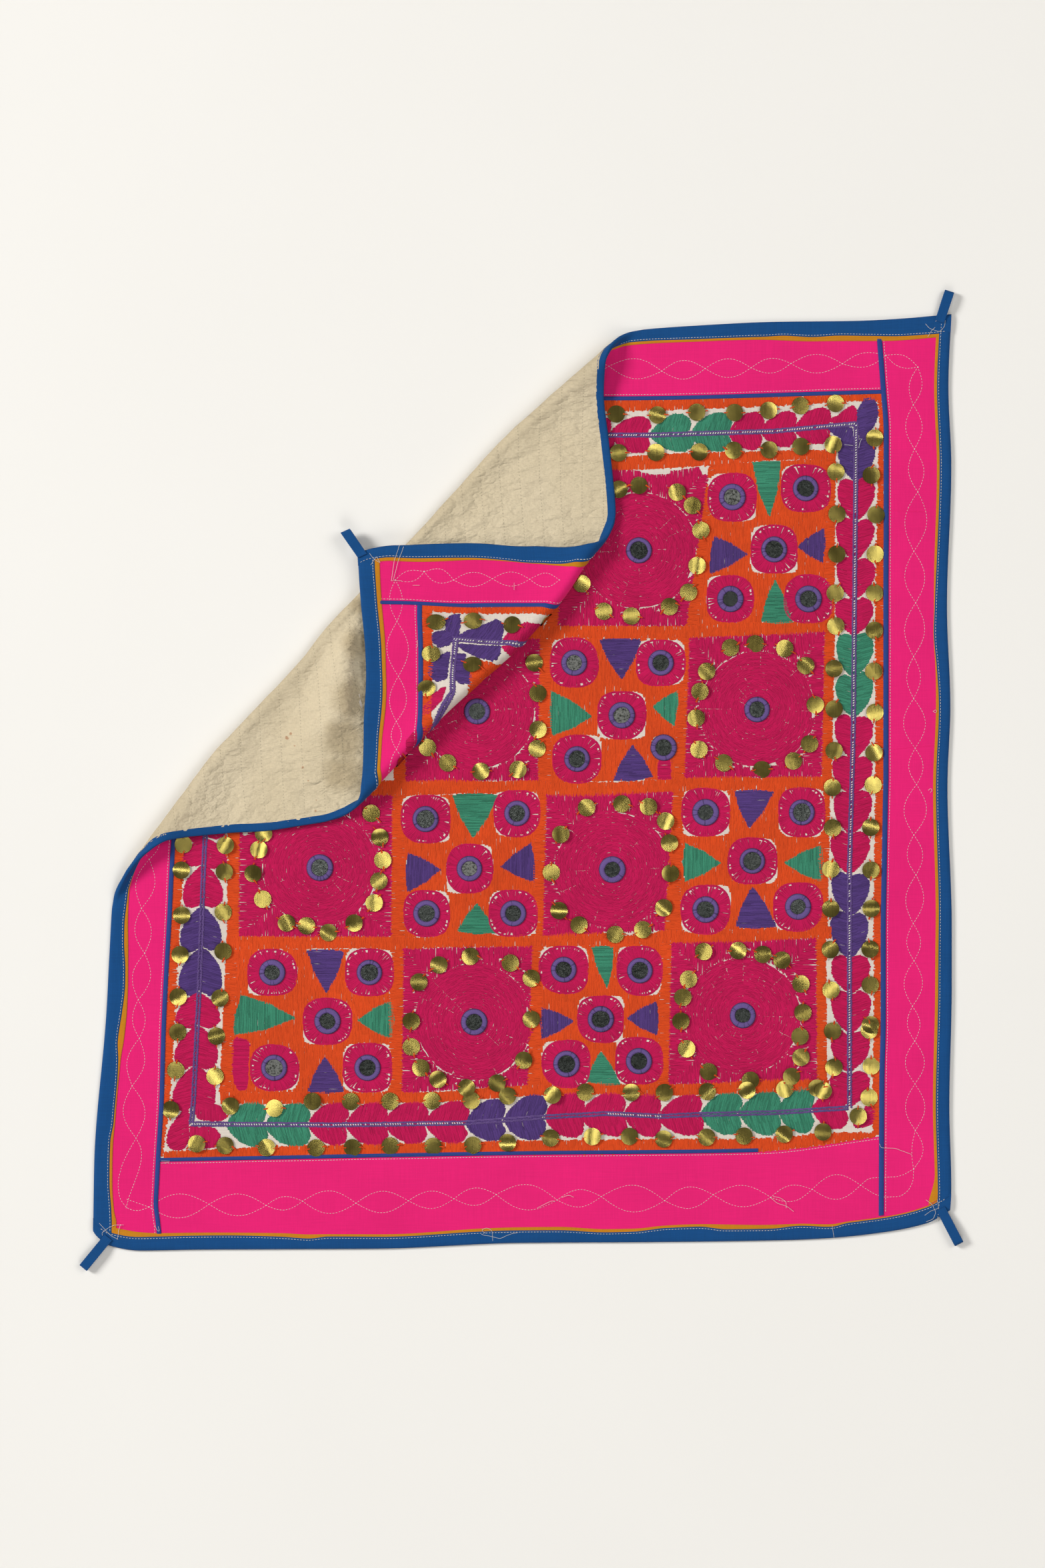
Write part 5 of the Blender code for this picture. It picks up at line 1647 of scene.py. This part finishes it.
def piping_on_seam(name, side, ends, size):
    """A soft fold of piping that lies on the panel along a seam."""
    profile = [(-0.6, 2.4), (-0.6, 2.7), (0.2, 3.3), (size * 0.5, 3.65), (size - 0.5, 3.4), (size, 2.9),
               (size - 0.2, 2.45)]
    kept = EDGES[side]
    EDGES[side] = SEAMS[side]
    made = swept_piece(name, side, ends, profile, finish("violet_tape"))
    EDGES[side] = kept
    return made


class TAPESTRY_OT_loops(bpy.types.Operator):
    """Make the four hanging loops of folded tape"""

    bl_idname = "tapestry.loops"
    bl_label = "Hanging loops"

    def execute(self, context):
        for base_u, base_v, heading, length, node_name in LOOPS:
            made = loop_piece("tape_" + node_name, base_u, base_v, heading, length)
            enrol(made, "blue_tape", node_name)
        return {"FINISHED"}


def loop_piece(name, base_u, base_v, heading, length):
    """A loop of tape: its lower leg runs out from the sewn end, turns round and comes back."""
    low, high = 4.2, 5.1
    radius = 3.3
    straight = length - radius - 0.5
    path = [(-8, low), (-3, low), (3.0, low - 0.1), (6.0, 2.6), (9.5, 0.75), (13, 0.5), (straight, 0.5)]
    for k in range(1, 8):
        angle = math.pi * k / 8
        path.append((straight + radius * math.sin(angle), 0.5 + radius - radius * math.cos(angle)))
    path += [(straight, 0.5 + 2 * radius), (12, 7.0), (8, 6.6), (4, 5.6), (0, high + 0.1)]
    path = np.array(path + [(-4, high), (-8, high)])
    fine = np.linspace(0, len(path) - 1, 64)
    r = np.interp(fine, np.arange(len(path)), path[:, 0])
    h = np.interp(fine, np.arange(len(path)), path[:, 1])
    for _ in range(3):
        r[1:-1] = (r[:-2] + 2 * r[1:-1] + r[2:]) / 4
        h[1:-1] = (h[:-2] + 2 * h[1:-1] + h[2:]) / 4
    tangent = np.stack((np.gradient(r), np.gradient(h)), axis=-1)
    tangent /= np.linalg.norm(tangent, axis=1)[:, None]
    normal = np.stack((-tangent[:, 1], tangent[:, 0]), axis=-1)
    half, thick = 5.0, 0.42
    section = [(-half, 0), (-half + 0.25, -thick), (half - 0.25, -thick), (half, 0), (half - 0.25, thick),
               (1.5, thick * 0.8), (-1.5, thick * 0.8), (-half + 0.25, thick)]
    way = math.radians(heading)
    out = np.array((math.cos(way), math.sin(way)))
    across = np.array((-math.sin(way), math.cos(way)))
    verts, uvs = [], []
    for k in range(len(r)):
        for side, depth in section:
            reach = r[k] + normal[k, 0] * depth
            level = h[k] + normal[k, 1] * depth
            place = np.array((base_u, base_v)) + reach * out + side * across
            verts.append((place[0], place[1], level))
            uvs.append((k * 1.3 * MM, side * MM))
    size = len(section)
    faces = []
    for j in range(len(r) - 1):
        for i in range(size):
            a, b = j * size + i, j * size + (i + 1) % size
            faces.append([a, a + size, b + size, b])
    faces.append(list(range(size)))
    faces.append([(len(r) - 1) * size + i for i in range(size)][::-1])
    return put_closed(name, carry(np.array(verts)), faces, finish("blue_tape"), 50, uvs)


class TAPESTRY_OT_orange(bpy.types.Operator):
    """Lay the orange bands and the orange ground of the five mirror squares"""

    bl_idname = "tapestry.orange"
    bl_label = "Orange embroidery"

    def execute(self, context):
        thread = settings()[1]
        pitch = thread.orange_pitch
        bands = Floss(5)
        discs = [disc for index in range(len(FIVE_PLACES)) for disc in disc_holes(index, -0.6)]
        for upper, lower in zip(BAND_TOPS, BAND_BOTTOMS):
            bands.fill(lower + upper[::-1], 90, pitch, ORANGE_RUN, discs, 0.45, 0.8)
        for row in range(4):
            sides = SQUARE_SIDES[row]
            lefts = [(sides[0][0] - GRID_EDGE_WIDTH[0], sides[0][2] - GRID_EDGE_WIDTH[0])]
            lefts += [(s[1], s[3]) for s in sides]
            rights = [(s[0], s[2]) for s in sides]
            rights += [(sides[3][1] + GRID_EDGE_WIDTH[1], sides[3][3] + GRID_EDGE_WIDTH[1])]
            for (a_top, a_low), (b_top, b_low) in zip(lefts, rights):
                bands.fill(quad(row, a_top, b_top, a_low, b_low), 0, pitch, ORANGE_RUN, discs, 0.45, 0.8)
        starts = {"top": (3.4, 90), "left": (4.0, 0), "right": (4.6, 0), "bottom": (0.4, 90)}
        for side, (start, heading) in starts.items():
            rows = BAND_REACH[side]
            along = np.linspace(rows[0][0], rows[-1][0], 40)
            near = seam(side, start)(along)
            far = seam(side, on_rows(rows)(along))(along)
            if side in ("top", "bottom"):
                outline = list(zip(along, near)) + list(zip(along[::-1], far[::-1]))
            else:
                outline = list(zip(near, along)) + list(zip(far[::-1], along[::-1]))
            bands.fill(outline, heading, pitch, ORANGE_RUN, ragged=0.6, slant=0.8)
        bands.lay("orange_bands", finish("orange_floss"))
        ground = Floss(6)
        for index, (row, column) in enumerate(FIVE_PLACES):
            holes = [triangle for _, _, triangle in triangles(index)] + disc_holes(index)
            holes += [from_photo(block) for block in MAGENTA_BLOCKS]
            ground.fill(square_outline(row, column), 90, pitch, 8.0, holes, 0.4, 0.6)
        ground.lay("orange_ground", finish("orange_floss"))
        return {"FINISHED"}


class TAPESTRY_OT_shapes(bpy.types.Operator):
    """Lay the magenta discs, the triangles, the leaves and the stem"""

    bl_idname = "tapestry.shapes"
    bl_label = "Discs, triangles and leaves"

    def execute(self, context):
        thread = settings()[1]
        discs = Floss(11)
        flosses = {"magenta": Floss(12), "purple": Floss(13), "green": Floss(14)}
        for index in range(len(FIVE_PLACES)):
            for number, place in enumerate(FIVE_MIRROR_SQUARES[index]):
                if place != BARE_RING:
                    lay_disc(discs, place, 100 + index * 5 + number)
            for name, heading, outline in triangles(index):
                flosses[name].fill(outline, heading, thread.pitch, TRIANGLE_RUN, ragged=0.3)
        for block in MAGENTA_BLOCKS:
            flosses["magenta"].fill(from_photo(block), 0, thread.pitch, 12.0)
        lay_leaves(flosses)
        corner_leaves(flosses)
        discs.lay("magenta_discs", finish("magenta_floss"))
        for name, floss in flosses.items():
            floss.lay(name + "_shapes", finish(name + "_floss"))
        return {"FINISHED"}


class TAPESTRY_OT_flowers(bpy.types.Operator):
    """Lay the wedges of the flower squares"""

    bl_idname = "tapestry.flowers"
    bl_label = "Flower squares"

    def execute(self, context):
        petals = Floss(21)
        for place, offsets, (row, column) in zip(FLOWER_MIRRORS, FLOWER_SEQUINS, FLOWER_PLACES):
            lay_flower(petals, place, offsets, square_outline(row, column))
        petals.lay("magenta_petals", finish("magenta_floss"))
        return {"FINISHED"}


# Length of a link of the stem's chain, and how far it runs under the next
STEM_LINK = 2.6
STEM_OVERLAP = 0.6


class TAPESTRY_OT_stem(bpy.types.Operator):
    """Lay the purple double chain of the leaf border, with its white stitches"""

    bl_idname = "tapestry.stem"
    bl_label = "Stem"

    def execute(self, context):
        chain, dots = Floss(31), Floss(32)
        for side, (stem, _, _, _) in LEAF_SIDES.items():
            low, high = min(s[0] for s in stem), max(s[0] for s in stem)
            for k in range(int((high - low) / STEM_LINK)):
                a, b = low + k * STEM_LINK, low + (k + 1) * STEM_LINK + STEM_OVERLAP
                for off, twist in ((-1.5, 0.6), (1.5, -0.6)):
                    chain.strand(stem_point(side, a, off - twist), stem_point(side, b, off + twist), 2.2, 1.5)
                    start, end = stem_point(side, a + 1.2, off * 1.4), stem_point(side, b, off * 1.2)
                    chain.strand(start, end, 1.2, 1.1)
                if chain.rng.random() < 0.85:
                    dots.strand(stem_point(side, a + 1.0, -0.35), stem_point(side, a + 1.4, 0.35), 1.1, 1.2,
                                level=FACE_TOP + 0.8, shade=0.6)
        chain.lay("purple_stem", finish("stem_floss"))
        dots.lay("stem_dots", finish("white_thread"), slot="thread")
        return {"FINISHED"}


# Rows of vertices round the thread ring of a mirror, high and low by turns
RING_RIDGES = 88


class TAPESTRY_OT_mirrors(bpy.types.Operator):
    """Finish the mirrors and make the purple thread rings that hold them"""

    bl_idname = "tapestry.mirrors"
    bl_label = "Mirrors and rings"

    def execute(self, context):
        metal = settings()[2]
        squares = [[place] for place in FLOWER_MIRRORS] + FIVE_MIRROR_SQUARES
        places = [place for square in squares for place in square]
        for number in range(1, len(places) + 1):
            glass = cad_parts[f"mirror_{number:02d}"]
            name = "mirror_cloudy" if number in CLOUDED_MIRRORS else "mirror_glass"
            glass.data.materials.clear()
            glass.data.materials.append(finish(name))
        rng = np.random.default_rng(51)
        verts, faces, shade = [], [], []
        for u, v in places:
            inside = metal.ring_inside * rng.uniform(0.9, 1.06)
            outside = metal.ring_outside * rng.uniform(0.96, 1.03)
            squash, lean = rng.uniform(0.93, 1.0), rng.uniform(0, math.pi)
            # Rows across the ring: radius, level and tone. The tone and the ridge term paint shade into the
            # shade attribute: the hollows between ridges are darker, and the ring darkens where it falls to
            # the glass and to the cloth.
            rows = [(inside, 3.95, 0.0), (inside + 0.4, 4.4, 0.5), (inside + 1.5, 4.65, 0.85),
                    (outside - 1.5, 4.4, 0.85), (outside - 0.6, 3.7, 0.35), (outside, 2.35, 0.0)]
            first = len(verts)
            for k in range(RING_RIDGES):
                angle = 2 * math.pi * k / RING_RIDGES
                ridge = 1.0 if k % 2 else 0.0
                dark = 0.25 if rng.random() < 0.07 else 1.0
                for r, (radius, level, light) in enumerate(rows):
                    reach = radius * (squash if r < 3 and math.cos(angle - lean) ** 2 > 0.6 else 1.0)
                    rise = (0.22 if 0 < r < 5 else 0.05) * ridge
                    verts.append((*polar((u, v), reach, angle), level + rise))
                    shade.append(min(1.0, dark * light * (0.62 + 0.5 * ridge) + rng.uniform(-0.06, 0.06)))
            size = len(rows)
            for k in range(RING_RIDGES):
                a, b = first + k * size, first + (k + 1) % RING_RIDGES * size
                for r in range(size - 1):
                    faces.append([a + r, a + r + 1, b + r + 1, b + r])
        made = put("mirror_rings", carry(np.array(verts)), faces, finish("ring_floss"), shade=shade)
        enrol(made, "embroidery")
        return {"FINISHED"}


# Sequins of the three flat corners, in photo pixels, and boxes of the cloth where no others go
CORNER_SEQUINS = table("""267 1548, 325 1554, 264 1605, 323 1614, 256.6 1664, 346 1658.6, 412 1662,
    295.4 1715.4, 338 1718, 400 1721, 1249 1546.4, 1304 1545, 1251 1600.6, 1307 1598.7, 1235 1635.7,
    1303.7 1646, 1287.4 1674, 1234.5 1697.5, 1253.3 605.6, 1200.7 609, 1249.8 667.3, 1201.4 670, 1312 657.5,
    1254 708, 1307 713""")
CORNER_BOXES = table("-400 -420 -254 -259, 312 -420 400 -259, 289 315 400 420, -400 245 -240 420")
# Sequins of the folded tip's corner
TIP_SEQUINS = table("-327 387.5, -292 392.5, -251 388, -329 351.5, -330.5 312.5, -287 341.5")


def sequin_rows():
    """Places of the sequins, with the heading of their tie threads."""
    rows = []
    rng = np.random.default_rng(61)
    for side, (_, text, out_reach, in_reach) in LEAF_SIDES.items():
        heading = 0.0 if side in ("top", "bottom") else 90.0
        leaves = leaf_rows(text)
        forward = 1 if leaves[0][1] > leaves[0][0] else -1
        for start, _, _ in leaves:
            for reach in (out_reach + 1.0, -in_reach - 0.5):
                along = start + forward * (7 + rng.normal(0, 1.5))
                point = stem_point(side, along, reach * rng.uniform(0.92, 1.02))
                rows.append((*point, heading + rng.normal(0, 12)))
    rows = [row for row in rows
            if not any(a < row[0] < c and b < row[1] < d for a, b, c, d in CORNER_BOXES)]
    corners = np.concatenate((from_photo(CORNER_SEQUINS), TIP_SEQUINS))
    rows += [(u, v, (90.0 if abs(u) > 300 and abs(v) < 370 else 0.0) + rng.normal(0, 12)) for u, v in corners]
    for place, offsets in zip(FLOWER_MIRRORS, FLOWER_SEQUINS):
        rows += [(place[0] + u, place[1] + v, math.degrees(math.atan2(v, u)) + 90) for u, v in offsets]
    return rows


class TAPESTRY_OT_sequins(bpy.types.Operator):
    """Sew on the sequins with their orange tie threads"""

    bl_idname = "tapestry.sequins"
    bl_label = "Sequins"

    def execute(self, context):
        metal = settings()[2]
        rng = np.random.default_rng(71)
        rows = [row for row in sequin_rows() if not hidden(row[0], row[1])[0]]
        places, leans = [], []
        ties = Floss(72)
        radius = metal.sequin / 2
        for u, v, heading in rows:
            places.append((u, v, SEQUIN_LEVEL))
            leans.append((*rng.normal(0, metal.tilt / 2, 2), rng.uniform(0, math.pi)))
            way = math.radians(heading)
            for sign in (1, -1):
                a = polar((u, v), sign * (radius - 1.8), way)
                b = (u + sign * (radius + 1.8) * math.cos(way + rng.normal(0, 0.12)),
                     v + sign * (radius + 1.8) * math.sin(way + rng.normal(0, 0.12)))
                ties.strand(a, b, 1.3, 0.9, level=4.0)
                ties.strand((a[0] + 0.5, a[1] + 0.4), (b[0] + 0.6, b[1] - 0.5), 1.1, 0.8, level=3.9)
        source = point_mesh("sequin_points", places, lean=np.array(leans))
        values = {"Diameter": metal.sequin, "Thickness": 0.35, "Seed": 3, "Material": finish("sequin_metal")}
        made = carried("sequins", grown("sequins", source, sequin_tree(), values))
        made.data.set_sharp_from_angle(angle=math.radians(40))
        enrol(made, "sequin")
        ties.lay("sequin_ties", finish("orange_floss"), slot="thread")
        return {"FINISHED"}


def side_path(side, across, low, high, level):
    """A path along one side of the cloth, with its distance across given by a line."""
    along = np.arange(low, high, SEAM_STEP)
    other = across(along)
    u, v = (other, along) if side in ("left", "right") else (along, other)
    return at_level(np.column_stack((u, v)), level)


# Places along each side where its machine stitches start and end, on the binding and on the strip
SIDE_REACH = {"top": (-404, 448), "bottom": (-440, 448), "left": (-472, 456), "right": (-462, 480)}
STRIP_REACH = {"top": (-385, 380), "bottom": (-373, 378), "left": (-475, 408), "right": (-452, 466)}
# Pitch and length of the stitches that run into one thread
CLOSE_STITCHES = (0.9, 1.7)
SEAM_STEP = 4.0


class TAPESTRY_OT_stitching(bpy.types.Operator):
    """Sew the machine stitches along the binding and the seams, and the waves on the strips"""

    bl_idname = "tapestry.stitching"
    bl_label = "Machine stitches"

    def execute(self, context):
        thread = settings()[1]
        edges = []
        for side in EDGES:
            edges.append(side_path(side, trim_edge(side, -1.8), *SIDE_REACH[side], TRIM_LEVEL))
            edges.append(side_path(side, seam(side, -2.4), *STRIP_REACH[side], SEAM_LEVEL))
        sewn = (thread.stitch_pitch, thread.stitch_length)
        loose = thread_lines(LOOSE_THREADS, LOOSE_LEVEL)
        tucks = thread_lines(PINK_SEAMS, FACE_TOP)
        rows = [
            ("seam_stitches", seen_parts(edges), sewn, 1.0, 1, "white_thread", "thread"),
            ("wave_stitches", seen_parts(wave_paths()), sewn, 0.8, 2, "white_thread", "thread"),
            ("loose_threads", loose, CLOSE_STITCHES, 0.65, 3, "white_thread", "thread"),
            ("pink_seams", tucks, CLOSE_STITCHES, 0.9, 3, "pink_cotton", "pink_strip"),
        ]
        for name, paths, (pitch, length), share, seed, paint, slot in rows:
            values = {"Pitch": pitch, "Stitch Length": length, "Stitch Width": thread.stitch_width * share,
                      "Seed": seed, "Material": finish(paint)}
            enrol(carried(name, grown(name, line_mesh(name, paths), stitch_tree(), values)), slot)
        return {"FINISHED"}


def softened(points, step):
    """A path through points in millimetres with its corners rounded, cut into short steps."""
    points = np.array(points, float)
    runs = np.concatenate(([0], np.cumsum(np.hypot(*np.diff(points, axis=0).T))))
    at = np.linspace(0, runs[-1], max(3, int(runs[-1] / step) + 1))
    path = np.column_stack([np.interp(at, runs, points[:, k]) for k in (0, 1)])
    for _ in range(3):
        path[1:-1] = (path[:-2] + 2 * path[1:-1] + path[2:]) / 4
    return path


def wave_paths():
    """The two lines of the double wave, from crossing to crossing."""
    paths = []
    for layer, rows in WAVES:
        places = flat_places(from_photo([row[:2] for row in rows]), layer)
        for start, end, row in zip(places, places[1:], rows):
            along = (end - start) / np.linalg.norm(end - start)
            aside = np.array((-along[1], along[0]))
            for swing in (-row[2], row[-1]):
                share = np.linspace(0, 1, 24)[:, None]
                path = start + (end - start) * share + aside * swing * PIXEL * np.sin(math.pi * share)
                paths.append(path)
    paths += [softened(from_photo(row), 2.0) for row in WAVE_CORNER]
    return [at_level(path, QUILTING_LEVEL) for path in paths]


def thread_lines(rows, level):
    """Paths of loose threads that lie on one layer of the cloth or another."""
    return [at_level(softened(flat_places(from_photo(pixels), layer), 1.0), level)
            for layer, threads in rows.items() for pixels in threads]


def seen_parts(paths):
    """The parts of some paths that aren't hidden in the fold."""
    parts = []
    for path in paths:
        start = None
        for k, inside in enumerate([*hidden(path[:, 0], path[:, 1]), True]):
            if not inside and start is None:
                start = k
            if inside and start is not None:
                if k - start > 2:
                    parts.append(path[start:k])
                start = None
    return parts


class TAPESTRY_OT_stage(bpy.types.Operator):
    """Set up the floor, the lights and the camera"""

    bl_idname = "tapestry.stage"
    bl_label = "Stage"

    def execute(self, context):
        scene = context.scene
        scene.view_settings.view_transform = "Standard"
        around = ((-1, -1), (1, -1), (1, 1), (-1, 1))
        verts = [(u * FLOOR_HALF, v * FLOOR_HALF, FLOOR_LEVEL) for u, v in around]
        floor = put("floor", verts, [[0, 1, 2, 3]], floor_material(), smooth=False)
        world = bpy.data.worlds.new("studio")
        world.use_nodes = True
        world.node_tree.nodes["Background"].inputs["Color"].default_value = (1.0, 0.99, 0.97, 1)
        world.node_tree.nodes["Background"].inputs["Strength"].default_value = 0.13
        scene.world = world
        lights = [
            ("key_light", (-6.2, 2.2, 4.8), 2.4, 2.4, 535),
            ("fill_light", (3.6, 1.4, 4.4), 3.0, 3.0, 92),
            ("low_light", (0.6, -4.2, 4.2), 3.0, 3.0, 82),
            ("left_glint", (-1.15, 0.2, 5.4), 0.22, 1.8, 18),
            ("right_glint", (1.45, -0.1, 5.4), 0.2, 1.6, 13),
        ]
        for name, place, width, height, power in lights:
            data = bpy.data.lights.new(name, "AREA")
            data.shape = "RECTANGLE"
            data.size, data.size_y = width, height
            data.energy = power
            light = placed(name, data)
            light.location = place
            way = np.array(place) / np.linalg.norm(place)
            light.rotation_euler = (math.acos(way[2]), 0, math.atan2(way[1], way[0]) + math.pi / 2)
        data = bpy.data.cameras.new("camera")
        data.sensor_width = SENSOR
        data.sensor_fit = "AUTO"
        data.lens = SENSOR * CAMERA_HEIGHT / SEEN_HEIGHT
        data.clip_end = 50
        camera = placed("camera", data)
        camera.location = (0.00175, -0.0042, CAMERA_HEIGHT)
        scene.camera = camera
        return {"FINISHED"}


class TAPESTRY_PT_panel(bpy.types.Panel):
    """Lists the steps of the tapestry and its settings"""

    bl_idname = "TAPESTRY_PT_panel"
    bl_label = "Mirror Work Tapestry"
    bl_space_type = "VIEW_3D"
    bl_region_type = "UI"
    bl_category = "Tapestry"

    def draw(self, context):
        layout = self.layout
        for step in STEPS:
            layout.operator(step.bl_idname)
        for group in settings():
            box = layout.box()
            for key in group.__annotations__:
                box.prop(group, key)


STEPS = (
    TAPESTRY_OT_stage, TAPESTRY_OT_lining, TAPESTRY_OT_ground, TAPESTRY_OT_strips, TAPESTRY_OT_bindings,
    TAPESTRY_OT_pipings, TAPESTRY_OT_loops, TAPESTRY_OT_orange, TAPESTRY_OT_shapes, TAPESTRY_OT_flowers,
    TAPESTRY_OT_stem, TAPESTRY_OT_mirrors, TAPESTRY_OT_sequins, TAPESTRY_OT_stitching,
)
GROUPS = (
    ("tapestry_cloth", ClothSettings), ("tapestry_thread", ThreadSettings), ("tapestry_metal", MetalSettings),
    ("tapestry_colours", ColourSettings),
)


def register():
    """Register the settings, the operators and the panel."""
    for name, group in GROUPS:
        bpy.utils.register_class(group)
        setattr(bpy.types.Scene, name, bpy.props.PointerProperty(type=group))
    for step in STEPS:
        bpy.utils.register_class(step)
    bpy.utils.register_class(TAPESTRY_PT_panel)


def unregister():
    """Take the settings, the operators and the panel away again."""
    bpy.utils.unregister_class(TAPESTRY_PT_panel)
    for step in reversed(STEPS):
        bpy.utils.unregister_class(step)
    for name, group in reversed(GROUPS):
        delattr(bpy.types.Scene, name)
        bpy.utils.unregister_class(group)


def main():
    """Make the whole tapestry."""
    register()
    for step in STEPS:
        group, name = step.bl_idname.split(".")
        getattr(getattr(bpy.ops, group), name)()


if __name__ == "__main__":
    main()
